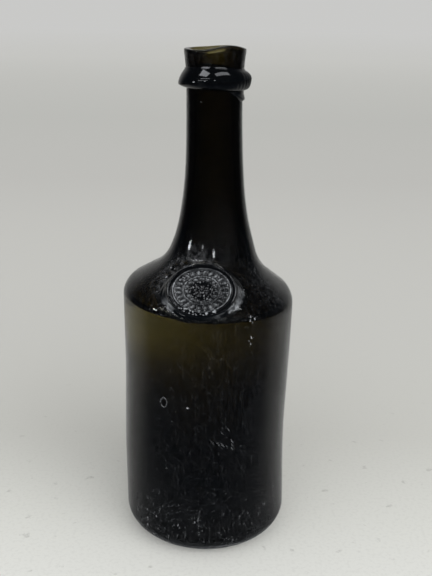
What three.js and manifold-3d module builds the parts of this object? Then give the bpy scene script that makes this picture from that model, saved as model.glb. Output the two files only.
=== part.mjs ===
// A free-blown mineral water bottle of very dark olive glass, with an applied
// string rim and a stamped shoulder seal. Millimetres, +Z up. It stands on
// z = 0 with its axis at the origin, and the seal looks towards -Y.

import * as THREE from 'three';
import { mergeVertices } from 'three/addons/utils/BufferGeometryUtils.js';
import Module from 'manifold-3d';

const wasm = await Module();
wasm.setup();

const DEGREE = Math.PI / 180;
const { clamp, smoothstep } = THREE.MathUtils;

// Roundness of the revolved forms: facets in a full turn.
const TURN_STEPS = 40;

// Vessel, outside
const footRadius = 46.4;
const upperRadius = 46.9;
const waistDraw = 0.55;
const heelRounding = 14.5;
const heelReach = 20;
const ringWidth = 2.4;
const kickUpHeight = 22;
const shoulderHeight = 142;
const shoulderRounding = 11.7;
const shoulderSlope = 34.2 * DEGREE;
const shoulderRun = 11.5;
const neckFootRounding = 23.6;
const neckFootSteepness = 71.3 * DEGREE;
const neckFootReach = 17.3;
const neckRadius = 14.6;
const neckReach = 50.6;
const lipRadius = 15.95;
const lipHeight = 275.2;
const lipLength = 23.2;
const lipRounding = 1.5;

// Vessel, glass thickness
const kickUpGlass = 8;
const ringGlass = 7;
const lowerWall = 6;
const upperWall = 2.2;
const thinningHeight = 80;
const shoulderWall = 6.5;
const shoulderThickening = 4;
const neckWall = 5.2;
const lipWall = 3;
const innerHeelRounding = 8;
const hollowShift = -1.3;

// How the soft glass settled while it cooled
const bodyLean = -1.05;
const bodyLeanShare = 0.83;
const neckLean = 1.7;
const neckLeanRun = 38;
const neckBow = 0.6;
const neckBowLead = 23;
const neckBowFade = 45;
const shoulderSlump = 3 * DEGREE;
const slumpLead = 30;
const slumpRun = 38;
const lipWaveDepth = 9;
const lipWaveTightness = 5;
const lipWaves = [
  { lift: 0.95, bearing: 60 * DEGREE },
  { lift: 2.2, bearing: -60 * DEGREE },
  { lift: -0.3, bearing: -125 * DEGREE },
];

// String rim: a trail of glass laid once round the neck, below the lip
const rimRadius = 18.9;
const rimBelowLip = 9.9;
const rimDepth = 9.6;
const rimCrestDepth = 6.2;
const rimUndercut = 0.4;
const rimTilt = 0.55;
const rimCrestShift = 1.7;
const rimFrontRise = 2.3;
const rimRiseBearing = -90 * DEGREE;
const rimRiseTightness = 2;
const rimRoot = 3;

// The end of that trail, smeared down the neck on the right
const tailThickness = 1;
const tailDrop = 7;
const tailSag = 1.4;
const tailStart = -76 * DEGREE;
const tailTip = 4 * DEGREE;
const tailEnd = 38 * DEGREE;

// Shoulder seal: an oval pad, pressed into a pooled gob of glass
const sealHalfWidth = 17.4;
const sealHalfHeight = 14.5;
const sealBearing = -5.5 * DEGREE;
const sealInset = 9.9;
const sealStandoff = 2.8;
const sealElevation = 42.4 * DEGREE;
const sealDepth = 9;
const sealEdgeDrop = 0.8;
const beadWidth = 2.1;
const beadHeight = 1.15;
const grooveWidth = 0.9;
const grooveDepth = 0.45;
const ridgeRadius = 7.3;
const ridgeWidth = 0.9;
const ridgeHeight = 0.5;
const pearlCount = 26;
const pearlRadius = 0.7;
const petalCount = 8;
const petalLength = 3.6;
const petalWidth = 1.8;
const petalHeight = 0.75;
const rosetteButton = 1.15;
const poolMargin = 4;
const poolDrop = 5;

// Pontil scar: a ring of glass left under the kick-up by the pontil rod
const scarRadius = 11;
const scarWidth = 3.2;
const scarHeight = 1.5;

// Clearance of an applied piece to the vessel that it is fused to
const weldGap = 0.3;

const darkGlass = { roughness: 0.08, metalness: 0 };
const vesselMaterial = new THREE.MeshStandardMaterial({ color: 0x1f1d12, ...darkGlass });
const rimMaterial = new THREE.MeshStandardMaterial({ color: 0x14140f, ...darkGlass });
const sealMaterial = new THREE.MeshStandardMaterial({ color: 0x2a2c2e, ...darkGlass });
const scarMaterial = new THREE.MeshStandardMaterial({ color: 0x2b2b24, roughness: 0.5, metalness: 0 });

// Outlines: x is the radius and y the height

function at(radius, height) {
  return new THREE.Vector2(radius, height);
}

// A step from a point, at an angle above the inward direction.
function inward(from, slope, length) {
  return at(from.x - length * Math.cos(slope), from.y + length * Math.sin(slope));
}

function arc(centre, radius, from, to, steps) {
  const points = [];
  for (let i = 0; i <= steps; i += 1) {
    const angle = from + ((to - from) * i) / steps;
    points.push(at(centre.x + radius * Math.cos(angle), centre.y + radius * Math.sin(angle)));
  }
  return points;
}

function curve(start, startHandle, endHandle, end, steps) {
  return new THREE.CubicBezierCurve(start, startHandle, endHandle, end).getPoints(steps);
}

// Stretches joined end to end, without the doubled point at each joint.
function joined(...stretches) {
  const points = [];
  for (const stretch of stretches) {
    for (const point of stretch) {
      const last = points.at(-1);
      if (!last || last.distanceTo(point) > 0.01) points.push(point);
    }
  }
  return points;
}

// The outline moved sideways, to the right of its direction of travel. The
// distance goes from the first value to the second, evenly or by a share of
// the height.
function offset(points, from, to, shareAt) {
  return points.map((point, i) => {
    const before = points[Math.max(i - 1, 0)];
    const after = points[Math.min(i + 1, points.length - 1)];
    const along = after.clone().sub(before).normalize();
    const share = shareAt ? shareAt(point.y) : i / (points.length - 1);
    const distance = from + (to - from) * share;
    return at(point.x + along.y * distance, point.y - along.x * distance);
  });
}

function revolved(points) {
  return new THREE.LatheGeometry(points, TURN_STEPS).rotateX(Math.PI / 2);
}

// A bell from its peak on the axis down to a level edge.
function bell(peak, edgeRadius, edgeLevel, steps) {
  const top = at(0, peak);
  const edge = at(edgeRadius, edgeLevel);
  return curve(top, at(edgeRadius * 0.42, peak), at(edgeRadius * 0.8, edgeLevel), edge, steps);
}

// The height of an outline where it passes a radius.
function levelOf(points, radius) {
  const next = points.findIndex((point, i) => i > 0 && (point.x - radius) * (points[i - 1].x - radius) <= 0);
  const [from, to] = [points[next - 1], points[next]];
  return from.y + ((to.y - from.y) * (radius - from.x)) / (to.x - from.x);
}

// The radius of an outline where it last passes a height.
function radiusOf(points, height) {
  const next = points.findLastIndex((point, i) => i > 0 && (point.y - height) * (points[i - 1].y - height) <= 0);
  const [from, to] = [points[next - 1], points[next]];
  return from.x + ((to.x - from.x) * (height - from.y)) / (to.y - from.y);
}

// Solids

function solidOf(geometry) {
  const plain = geometry.clone();
  plain.deleteAttribute('normal');
  plain.deleteAttribute('uv');
  const merged = mergeVertices(plain, 0.0001);
  const corners = [];
  const index = merged.index.array;
  for (let i = 0; i < index.length; i += 3) {
    const [a, b, c] = [index[i], index[i + 1], index[i + 2]];
    if (a !== b && b !== c && c !== a) corners.push(a, b, c);
  }
  return new wasm.Manifold(new wasm.Mesh({
    numProp: 3,
    vertProperties: new Float32Array(merged.attributes.position.array),
    triVerts: new Uint32Array(corners),
  }));
}

function geometryOf(solid) {
  const mesh = solid.getMesh();
  const geometry = new THREE.BufferGeometry();
  geometry.setAttribute('position', new THREE.BufferAttribute(mesh.vertProperties, 3));
  geometry.setIndex(new THREE.BufferAttribute(mesh.triVerts, 1));
  return geometry;
}

// Moves every corner of a geometry by a rule.
function reshaped(geometry, rule) {
  const places = geometry.attributes.position;
  const corner = new THREE.Vector3();
  for (let i = 0; i < places.count; i += 1) {
    corner.fromBufferAttribute(places, i);
    rule(corner);
    places.setXYZ(i, corner.x, corner.y, corner.z);
  }
  return geometry;
}

// A smooth swell of height 1 at a bearing round the axis, which fades to both sides.
function swell(bearing, centre, tightness) {
  return Math.exp(tightness * (Math.cos(bearing - centre) - 1));
}

// The finished glass isn't true: body and neck bow, the neck stands off centre,
// the shoulder sags towards +X and the lip is uneven.
function settled(geometry) {
  return reshaped(geometry, (corner) => {
    const bearing = Math.atan2(corner.y, corner.x);
    const up = clamp(corner.z / (shoulderHeight * bodyLeanShare), 0, 1);
    const bow = Math.sin(Math.PI * up) ** 2;
    const neckShare = smoothstep(corner.z, shoulderHeight, shoulderHeight + neckLeanRun);
    const bowShare = smoothstep(corner.z, shoulderHeight, shoulderHeight + neckBowLead)
      * (1 - smoothstep(corner.z, neckHeight - neckBowFade, neckHeight));
    const slumpIn = smoothstep(corner.z, shoulderHeight - slumpLead, shoulderHeight);
    const slumpOut = smoothstep(corner.z, shoulderHeight + shoulderRounding, shoulderHeight + slumpRun);
    const lipShare = smoothstep(corner.z, lipHeight - lipWaveDepth, lipHeight);
    const lifts = lipWaves.map((wave) => wave.lift * swell(bearing, wave.bearing, lipWaveTightness));
    const lipWave = lifts.reduce((total, lift) => total + lift, 0);
    corner.z -= corner.x * Math.tan(shoulderSlump) * slumpIn * (1 - slumpOut);
    corner.z += lipWave * lipShare;
    corner.x += bodyLean * bow + neckLean * neckShare + neckBow * bowShare;
  });
}

// Vessel

// How far the wall has thinned at a height, from the heavy body to its top.
function thinned(height) {
  return smoothstep(height, shoulderHeight - thinningHeight, shoulderHeight);
}

// How far it has thickened again above the corner of the shoulder.
function thickened(height) {
  return smoothstep(height, shoulderHeight, shoulderHeight + shoulderThickening);
}

const ringOuter = footRadius - heelReach;
const ringInner = ringOuter - ringWidth;
const underside = bell(kickUpHeight, ringInner, 0, 7);
const heel = arc(at(0, heelRounding), heelRounding, -Math.PI / 2, 0, 6)
  .map((point) => at(ringOuter + (point.x * heelReach) / heelRounding, point.y));
const waistHandle = (shoulderHeight - heelRounding) / 3;
const wall = curve(
  at(footRadius, heelRounding),
  at(footRadius - waistDraw, heelRounding + waistHandle),
  at(upperRadius - waistDraw, shoulderHeight - waistHandle),
  at(upperRadius, shoulderHeight),
  6,
);
const shoulderTurn = Math.PI / 2 - shoulderSlope;
const shoulderCentre = at(upperRadius - shoulderRounding, shoulderHeight);
const shoulderCorner = arc(shoulderCentre, shoulderRounding, 0, shoulderTurn, 6);
const slopeEnd = inward(shoulderCorner.at(-1), shoulderSlope, shoulderRun);
const neckFootCentre = at(
  slopeEnd.x + neckFootRounding * Math.sin(shoulderSlope),
  slopeEnd.y + neckFootRounding * Math.cos(shoulderSlope),
);
const neckFoot = arc(
  neckFootCentre,
  neckFootRounding,
  1.5 * Math.PI - shoulderSlope,
  1.5 * Math.PI - neckFootSteepness,
  5,
);
const neckHeight = lipHeight - lipLength;
const neck = curve(
  neckFoot.at(-1),
  inward(neckFoot.at(-1), neckFootSteepness, neckFootReach),
  at(neckRadius, neckHeight - neckReach),
  at(neckRadius, neckHeight),
  9,
);
const lipEdge = lipHeight - lipRounding;
const lipFlareHeight = lipEdge - neckHeight;
const lip = curve(
  at(neckRadius, neckHeight),
  at(neckRadius, neckHeight + lipFlareHeight * 0.5),
  at(lipRadius - 0.5 * (lipRadius - neckRadius), lipEdge - lipFlareHeight * 0.2),
  at(lipRadius, lipEdge),
  6,
);

const mouthRadius = lipRadius - lipWall;
const lipMiddle = at(lipRadius - lipWall / 2, lipHeight);
const lipShoulder = at(lipRadius, lipHeight);
const lipCrown = curve(at(lipRadius, lipEdge), lipShoulder, lipShoulder, lipMiddle, 3);
const mouthShoulder = at(mouthRadius, lipHeight);
const mouthEdge = curve(lipMiddle, mouthShoulder, mouthShoulder, at(mouthRadius, lipEdge), 3);

const innerFootRadius = footRadius - lowerWall;
const innerHeelCentre = at(innerFootRadius - innerHeelRounding, ringGlass + innerHeelRounding);
const innerFloor = bell(kickUpHeight + kickUpGlass, innerHeelCentre.x, ringGlass, 7);
const innerHeel = arc(innerHeelCentre, innerHeelRounding, -Math.PI / 2, 0, 5);
const innerWall = offset(wall, -lowerWall, -upperWall, thinned).slice(1);
const innerShoulder = offset(joined(shoulderCorner, [slopeEnd]), -upperWall, -shoulderWall, thickened)
  .slice(1, -1);
const innerNeckFoot = offset(neckFoot, -shoulderWall, -neckWall);
const innerNeck = offset(neck, -neckWall, -neckWall).slice(1);
const innerLip = offset(lip, -neckWall, -lipWall).slice(1, -1);

const outside = joined(underside, heel, wall, shoulderCorner, [slopeEnd], neckFoot, neck, lip);
const inside = joined(innerFloor, innerHeel, innerWall, innerShoulder, innerNeckFoot, innerNeck, innerLip);
const vesselSection = joined(outside, lipCrown, mouthEdge, inside.toReversed());

// The hollow drifts off centre towards the shoulder, so the wall is thinner at -X.
const vessel = settled(reshaped(revolved(vesselSection), (corner) => {
  const drift = smoothstep(corner.z, 0, shoulderHeight)
    * (1 - smoothstep(corner.z, shoulderHeight, shoulderHeight + slumpLead));
  const radius = Math.hypot(corner.x, corner.y);
  const hollow = drift > 0 && radius < radiusOf(outside, corner.z) - upperWall / 2;
  if (hollow) corner.x += hollowShift * drift;
}));

// What the applied pieces are cut with: the vessel's outside, grown by the gap.
const grownOutside = offset(joined(outside, lipCrown), weldGap, weldGap);
grownOutside[0].x = 0;
const grownVessel = solidOf(revolved([...grownOutside, at(0, lipHeight + weldGap)]));

// String rim

const rimTop = lipHeight - rimBelowLip;
const rimCrest = rimTop - rimCrestDepth;
const rimUnderside = rimTop - rimDepth;

function rimWave(corner) {
  const bearing = Math.atan2(corner.y, corner.x);
  const radius = Math.hypot(corner.x, corner.y);
  const proud = clamp((radius - neckRadius) / (rimRadius - neckRadius), 0, 1);
  const raised = clamp((corner.z - rimUnderside) / (rimTop - rimUnderside), 0, 1);
  const shifted = proud * smoothstep(corner.z, rimUnderside, rimCrest);
  corner.z += (rimCrestShift * shifted - rimTilt) * Math.cos(bearing);
  corner.z += rimFrontRise * raised * swell(bearing, rimRiseBearing, rimRiseTightness);
}

const rimBore = neckRadius - rimRoot;
const rimOverhang = rimRadius - neckRadius;
const rimLower = curve(
  at(neckRadius, rimUnderside),
  at(neckRadius + 0.65 * rimOverhang, rimUnderside - rimUndercut),
  at(rimRadius, rimCrest - 0.6 * (rimCrest - rimUnderside)),
  at(rimRadius, rimCrest),
  5,
);
const rimUpper = curve(
  at(rimRadius, rimCrest),
  at(rimRadius, rimCrest + 0.35 * (rimTop - rimCrest)),
  at(neckRadius + 0.5 * rimOverhang, rimCrest + 0.75 * (rimTop - rimCrest)),
  at(neckRadius, rimTop),
  6,
);
const rimSection = joined(
  [at(rimBore, rimUnderside)],
  rimLower,
  rimUpper,
  [at(rimBore, rimTop)],
  [at(rimBore, rimUnderside)],
);
const rimRing = solidOf(reshaped(revolved(rimSection), rimWave));

// The tail is cut from a thin sleeve round the neck by a drooping outline,
// seen along the bearing of its middle.
const tailRadius = neckRadius + weldGap + tailThickness;
const tailMiddle = (tailStart + tailEnd) / 2;
const tailRoot = (rimUnderside + rimCrest) / 2;
const tailLow = rimUnderside - tailDrop;
const sleeveSection = joined([
  at(rimBore, tailLow),
  at(tailRadius, tailLow),
  at(tailRadius, tailRoot),
  at(rimBore, tailRoot),
  at(rimBore, tailLow),
]);

function acrossTail(bearing) {
  return tailRadius * Math.sin(bearing - tailMiddle);
}

const tailOutline = new THREE.Shape();
tailOutline.moveTo(acrossTail(tailStart), tailRoot);
tailOutline.lineTo(acrossTail(tailStart), rimUnderside);
tailOutline.quadraticCurveTo(acrossTail(tailMiddle), tailLow + tailSag, acrossTail(tailTip), tailLow);
tailOutline.quadraticCurveTo(acrossTail(tailEnd), tailLow, acrossTail(tailEnd), rimUnderside);
tailOutline.lineTo(acrossTail(tailEnd), tailRoot);
const tailPrism = new THREE.ExtrudeGeometry(tailOutline, {
  depth: rimRadius,
  bevelEnabled: false,
  curveSegments: 8,
});
tailPrism.rotateX(Math.PI / 2);
tailPrism.rotateZ(Math.PI / 2 + tailMiddle);
const tail = solidOf(revolved(sleeveSection)).intersect(solidOf(tailPrism));
const stringRim = settled(geometryOf(rimRing.add(tail).subtract(grownVessel)));

// Shoulder seal, first flat: x across, y up the shoulder, z outwards

const beadMiddle = sealHalfHeight - beadWidth / 2;
const bead = arc(at(beadMiddle, 0), beadWidth / 2, 0, Math.PI, 6)
  .map((point) => at(point.x, (point.y * beadHeight) / (beadWidth / 2)));
const groove = [
  at(sealHalfHeight - beadWidth - grooveWidth * 0.5, -grooveDepth),
  at(sealHalfHeight - beadWidth - grooveWidth, 0),
];
const ridge = arc(at(ridgeRadius, 0), ridgeWidth / 2, 0, Math.PI, 4)
  .map((point) => at(point.x, (point.y * ridgeHeight) / (ridgeWidth / 2)));
const poolFlare = curve(
  at(sealHalfHeight + poolMargin, -poolDrop),
  at(sealHalfHeight + poolMargin * 0.35, -poolDrop),
  at(sealHalfHeight, -poolDrop * 0.6),
  at(sealHalfHeight, -sealEdgeDrop),
  5,
);
const padSection = joined(
  [at(0, -sealDepth), at(sealHalfHeight + poolMargin, -sealDepth)],
  poolFlare,
  bead,
  groove,
  ridge,
  [at(0, 0)],
);

function ellipsoid(x, y, z) {
  return new THREE.SphereGeometry(1, 10, 8).rotateX(Math.PI / 2).scale(x, y, z);
}

let sealBlank = solidOf(revolved(padSection));
const pearlCircle = (sealHalfHeight - beadWidth - grooveWidth + ridgeRadius + ridgeWidth / 2) / 2;
for (let i = 0; i < pearlCount; i += 1) {
  const bearing = (2 * Math.PI * i) / pearlCount;
  const pearl = ellipsoid(pearlRadius, pearlRadius, pearlRadius)
    .translate(pearlCircle * Math.cos(bearing), pearlCircle * Math.sin(bearing), 0);
  sealBlank = sealBlank.add(solidOf(pearl));
}
for (let i = 0; i < petalCount; i += 1) {
  const petal = ellipsoid(petalLength / 2, petalWidth / 2, petalHeight)
    .translate(rosetteButton / 2 + petalLength / 2, 0, 0)
    .rotateZ((2 * Math.PI * i) / petalCount);
  sealBlank = sealBlank.add(solidOf(petal));
}
sealBlank = sealBlank.add(solidOf(ellipsoid(rosetteButton, rosetteButton, rosetteButton)));

const sealRadius = upperRadius - sealInset;
const sealHeight = levelOf([...shoulderCorner, slopeEnd], sealRadius) + sealStandoff;
const sealOnShoulder = geometryOf(sealBlank)
  .scale(sealHalfWidth / sealHalfHeight, 1, 1)
  .rotateX(Math.PI / 2 - sealElevation)
  .translate(0, -sealRadius, sealHeight)
  .rotateZ(sealBearing);
const shoulderSeal = settled(geometryOf(solidOf(sealOnShoulder).subtract(grownVessel)));

// Pontil scar

const scarLevel = levelOf(underside, scarRadius) - weldGap;
const scarLow = curve(
  at(scarRadius - scarWidth / 2, scarLevel),
  at(scarRadius - scarWidth / 2, scarLevel - scarHeight * 1.3),
  at(scarRadius + scarWidth / 2, scarLevel - scarHeight * 1.3),
  at(scarRadius + scarWidth / 2, scarLevel),
  6,
);
const scarSection = joined(
  scarLow,
  [at(scarRadius + scarWidth / 2, scarLevel + scarWidth)],
  [at(scarRadius - scarWidth / 2, scarLevel + scarWidth)],
  [at(scarRadius - scarWidth / 2, scarLevel)],
);
const pontilScar = settled(geometryOf(solidOf(revolved(scarSection)).subtract(grownVessel)));

// Assembly

function piece(name, geometry, material) {
  const mesh = new THREE.Mesh(geometry, material);
  mesh.name = name;
  return mesh;
}

const bottle = new THREE.Group();
bottle.add(piece('bottle_body', vessel, vesselMaterial));
bottle.add(piece('string_rim', stringRim, rimMaterial));
bottle.add(piece('shoulder_seal', shoulderSeal, sealMaterial));
bottle.add(piece('pontil_scar', pontilScar, scarMaterial));

export default bottle;
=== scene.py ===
# %% [markdown]
# # A hand-blown mineral water bottle
# The bottle is four gobs of dark olive glass: the blown vessel, a trail laid
# round the neck as a string rim, a stamped seal on the shoulder, and the scar
# that the pontil rod left underneath. The packed solids give every size and
# place. This notebook dresses them in smooth glass, and leaves them in place.

# %% The packed frame
import functools
import math

import bmesh
import bpy
from mathutils import Matrix, Vector, noise
from mathutils.bvhtree import BVHTree


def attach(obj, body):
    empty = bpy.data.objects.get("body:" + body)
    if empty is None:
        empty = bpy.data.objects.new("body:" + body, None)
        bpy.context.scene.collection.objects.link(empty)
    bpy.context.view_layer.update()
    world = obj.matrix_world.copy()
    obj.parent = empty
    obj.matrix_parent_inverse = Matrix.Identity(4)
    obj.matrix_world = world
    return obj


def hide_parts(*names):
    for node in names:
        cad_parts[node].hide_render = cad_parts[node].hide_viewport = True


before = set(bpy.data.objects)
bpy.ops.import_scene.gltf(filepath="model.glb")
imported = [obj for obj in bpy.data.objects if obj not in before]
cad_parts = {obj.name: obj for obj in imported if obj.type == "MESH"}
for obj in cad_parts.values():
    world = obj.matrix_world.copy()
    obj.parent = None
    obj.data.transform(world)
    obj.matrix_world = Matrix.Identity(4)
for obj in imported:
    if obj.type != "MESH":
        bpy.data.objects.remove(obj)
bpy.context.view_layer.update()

MM = 0.001
print("nodes:", sorted(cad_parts))

# %% [markdown]
# ## The camera
# The photograph was taken from a little above the mouth, close to the bottle,
# with the camera rolled by one degree. A camera is a place, a focal length and
# three turns, so those are the values here. The sensor is 36 mm on the long side.

# %% Camera
CAMERA_PLACE = Vector((4.2, -452.0, 303.0)) * MM
CAMERA_PITCH = math.radians(19.09)
CAMERA_ROLL = math.radians(1.0)
LENS_LENGTH = 53.75
SENSOR_WIDTH = 36.0
NEAREST_SEEN = 0.01

camera_data = bpy.data.cameras.new("camera")
camera_data.lens = LENS_LENGTH
camera_data.sensor_width = SENSOR_WIDTH
camera_data.clip_start = NEAREST_SEEN
camera = bpy.data.objects.new("camera", camera_data)
bpy.context.scene.collection.objects.link(camera)
camera.matrix_world = (
    Matrix.Translation(CAMERA_PLACE)
    @ Matrix.Rotation(math.pi / 2 - CAMERA_PITCH, 4, "X")
    @ Matrix.Rotation(CAMERA_ROLL, 4, "Z")
)
bpy.context.scene.camera = camera
bpy.context.scene.view_settings.view_transform = "Standard"
print("camera height in mm:", round(camera.location.z / MM))

# %% [markdown]
# ## Shader sums as Python sums
# A finish is mostly arithmetic on masks, and long chains of Math nodes are hard
# to read. A small class can wrap an output socket, so that `1 - mask` adds the
# Math node by itself. Any other node comes from one method, which first sets
# the node's settings and then fills or links its sockets.


# %% The socket class
class Wire:
    """An output socket that can stand in a Python sum."""

    def __init__(self, socket):
        self.socket = socket
        self.tree = socket.id_data

    @staticmethod
    def fill(tree, target, value):
        if isinstance(value, Wire):
            tree.links.new(value.socket, target)
        else:
            target.default_value = value

    @staticmethod
    def set_stops(ramp, stops):
        while len(ramp.elements) < len(stops):
            ramp.elements.new(0.5)
        for element, (place, colour) in zip(ramp.elements, stops):
            element.position = place
            element.color = colour

    @classmethod
    def node(cls, tree, kind, settings=None, sockets=None, output=0):
        """Makes a node and gives one of its outputs, if it has any."""
        made = tree.nodes.new(kind)
        for name, value in (settings or {}).items():
            if name == "stops":
                cls.set_stops(made.color_ramp, value)
            else:
                setattr(made, name, value)
        for name, value in (sockets or {}).items():
            cls.fill(tree, made.inputs[name], value)
        return cls(made.outputs[output]) if made.outputs else None

    def beside(self, output):
        """Another output of the same node."""
        return Wire(self.socket.node.outputs[output])

    def sum(self, operation, first, second=0.0, clamp=False):
        settings = {"operation": operation, "use_clamp": clamp}
        return Wire.node(self.tree, "ShaderNodeMath", settings, {0: first, 1: second})

    def __add__(self, other):
        return self.sum("ADD", self, other)

    def __radd__(self, other):
        return self.sum("ADD", other, self)

    def __sub__(self, other):
        return self.sum("SUBTRACT", self, other)

    def __rsub__(self, other):
        return self.sum("SUBTRACT", other, self)

    def __mul__(self, other):
        return self.sum("MULTIPLY", self, other)

    def __rmul__(self, other):
        return self.sum("MULTIPLY", other, self)

    def __truediv__(self, other):
        return self.sum("DIVIDE", self, other)

    def __abs__(self):
        return self.sum("ABSOLUTE", self)

    def most(self, other):
        return self.sum("MAXIMUM", self, other)

    def clamped(self):
        return self.sum("ADD", self, 0.0, clamp=True)

    def step(self, low, high):
        """0 below low, 1 above high, smooth between."""
        settings = {"interpolation_type": "SMOOTHSTEP"}
        sockets = {"Value": self, "From Min": low, "From Max": high}
        return Wire.node(self.tree, "ShaderNodeMapRange", settings, sockets)

    def step_mm(self, low, high):
        """The same for a length, with low and high in millimetres."""
        return self.step(low * MM, high * MM)


print("methods of a wire:", [name for name in vars(Wire) if not name.startswith("_")])

# %% [markdown]
# ## A few nodes by plain names
# Every finish below asks where a point lies, how noise falls there, and which
# colour lies between two others. Each of these is one node, and each could be
# written out where it is used. A short function with a plain name says it once.

# %% Colours, places and noise
MIX_COLOURS = (6, 7)
MIX_COLOUR_RESULT = 2


def mixed(factor, first, second):
    """A colour between two, by a mask. The Mix node knows its colour sockets by number only."""
    sockets = {0: factor, MIX_COLOURS[0]: first, MIX_COLOURS[1]: second}
    return Wire.node(factor.tree, "ShaderNodeMix", {"data_type": "RGBA"}, sockets, MIX_COLOUR_RESULT)


def colour_ramp(value, stops):
    """Colours along a value that runs from 0 to 1."""
    return Wire.node(value.tree, "ShaderNodeValToRGB", {"stops": stops}, {"Fac": value})


def layered(mask, under, over):
    """One surface over another, by a mask."""
    return Wire.node(mask.tree, "ShaderNodeMixShader", sockets={0: mask, 1: under, 2: over})


def own_place(tree):
    """Where a point lies on its own piece, in metres."""
    return Wire.node(tree, "ShaderNodeTexCoord", output="Object")


def split_up(place):
    """Its x, y and z."""
    x = Wire.node(place.tree, "ShaderNodeSeparateXYZ", sockets={0: place})
    return x, x.beside("Y"), x.beside("Z")


def vectors(operation, first, second=(0.0, 0.0, 0.0), output="Vector"):
    sockets = {0: first, 1: second}
    return Wire.node(first.tree, "ShaderNodeVectorMath", {"operation": operation}, sockets, output)


def length_of(vector):
    return vectors("LENGTH", vector, output="Value")


def noise_at(place, scale, detail, stretch=None):
    """Noise, drawn out along the axes where stretch is below 1."""
    spot = vectors("MULTIPLY", place, stretch) if stretch else place
    sockets = {"Vector": spot, "Scale": scale, "Detail": detail}
    return Wire.node(place.tree, "ShaderNodeTexNoise", sockets=sockets)


def blotches(place, scale, detail, low, high, stretch=None):
    """Soft patches from 0 to 1, where noise rises from low to high."""
    return noise_at(place, scale, detail, stretch).step(low, high)


def bumped(height, strength, depth):
    """A normal that leans as a surface of this height would. depth is in metres."""
    sockets = {"Strength": strength, "Distance": depth, "Height": height}
    return Wire.node(height.tree, "ShaderNodeBump", sockets=sockets)


def ray_is(tree, kind):
    """1 for rays of one kind, 0 for the others."""
    return Wire.node(tree, "ShaderNodeLightPath", output=f"Is {kind} Ray")


def new_material(name):
    material = bpy.data.materials.new(name)
    material.use_nodes = True
    material.node_tree.nodes.clear()
    return material, material.node_tree


def finish_material(tree, surface, volume=None):
    sockets = {"Surface": surface}
    if volume:
        sockets["Volume"] = volume
    Wire.node(tree, "ShaderNodeOutputMaterial", sockets=sockets)


print("materials so far:", len(bpy.data.materials))

# %% [markdown]
# ## The pale table
# Black glass shows almost nothing but its surroundings, so they matter as much
# as the glass. The photograph has pale paper under and behind the bottle, with
# a little dirt on it. It could be a sheet with a curved back, but one wide disc
# whose far edge fades into the room has no fold that the glass could mirror.
# Its tone is painted shading, bright in front and darker behind. Mirror rays see
# it in other tones: a painted shadow, dark on the camera's side, and pale behind.

# %% Table
TABLE_RADIUS = 7.0
TABLE_SIDES = 96
TABLE_DROP = 0.0003
PAPER_START = -0.3
PAPER_RUN = 4.0
# painted shading: bright in front of the bottle, darker behind it where less light falls, and a little
# brighter far off
PAINTED_PAPER_SHADING = (
    (0.05, (0.745, 0.75, 0.727, 1.0)),
    (0.075, (0.648, 0.652, 0.622, 1.0)),
    (0.10, (0.56, 0.56, 0.533, 1.0)),
    (0.15, (0.536, 0.535, 0.515, 1.0)),
    (0.23, (0.51, 0.508, 0.49, 1.0)),
    (0.32, (0.475, 0.472, 0.457, 1.0)),
    (0.50, (0.461, 0.462, 0.446, 1.0)),
    (1.00, (0.516, 0.516, 0.50, 1.0)),
)
# scale and detail of the noise, and the two values that it steps between
DIRT_SPOTS = (110.0, 5.0, 0.66, 0.74)
DIRT_GRAIN = (450.0, 2.0, 0.45, 0.7)
DIRT_SPOT_LEVEL = 0.45
DIRT_GRAIN_LEVEL = 0.1
DIRT_END = 0.25
PAPER_DIRT = (0.34, 0.335, 0.32, 1.0)
PAPER_END = 2.5
ROOM_SEEN = (0.585, 0.585, 0.575, 1.0)
MIRROR_START = -0.6
MIRROR_RUN = 1.0
# painted shadow: mirror rays see the paper dark on the camera's side and pale behind
MIRROR_TONES = (
    (0.00, (0.012, 0.018, 0.026, 1.0)),
    (0.15, (0.028, 0.036, 0.052, 1.0)),
    (0.48, (0.085, 0.10, 0.125, 1.0)),
    (0.55, (0.16, 0.17, 0.185, 1.0)),
    (0.61, (0.38, 0.38, 0.375, 1.0)),
    (0.70, (0.50, 0.50, 0.49, 1.0)),
    (0.82, (0.52, 0.52, 0.51, 1.0)),
    (0.92, (0.36, 0.36, 0.35, 1.0)),
)
MIRROR_NEAR = (0.4, 1.3)
MIRROR_FAR = (0.03, 0.03, 0.033, 1.0)
MIRROR_BACK = (0.42, 0.42, 0.41, 1.0)
TOWARDS_BACK = (0.4, 0.9)


def paper():
    """Pale paper with painted shading and faint dirt near the bottle, and other tones for mirrors, with a
    painted shadow.
    """
    material, tree = new_material("paper")
    place = own_place(tree)
    away = split_up(place)[1]
    reach = length_of(place)
    dirt = DIRT_SPOT_LEVEL * blotches(place, *DIRT_SPOTS) + DIRT_GRAIN_LEVEL * blotches(place, *DIRT_GRAIN)
    # painted shading of the paper, by distance from the front
    painted_shading = colour_ramp((away - PAPER_START) / PAPER_RUN, PAINTED_PAPER_SHADING)
    seen = mixed(dirt * (1 - away.step(0.0, DIRT_END)), painted_shading, PAPER_DIRT)
    nearby = colour_ramp((away - MIRROR_START) / MIRROR_RUN, MIRROR_TONES)
    distant = mixed((away / reach).step(*TOWARDS_BACK), MIRROR_FAR, MIRROR_BACK)
    mirrored = mixed(reach.step(*MIRROR_NEAR), nearby, distant)
    colour = mixed(ray_is(tree, "Glossy"), seen, mirrored)
    matt = Wire.node(tree, "ShaderNodeBsdfDiffuse", sockets={"Color": colour})
    horizon = Wire.node(tree, "ShaderNodeEmission", sockets={"Color": ROOM_SEEN})
    far = reach.step(PAPER_END, TABLE_RADIUS) * ray_is(tree, "Camera")
    finish_material(tree, layered(far, matt, horizon))
    return material


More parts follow.
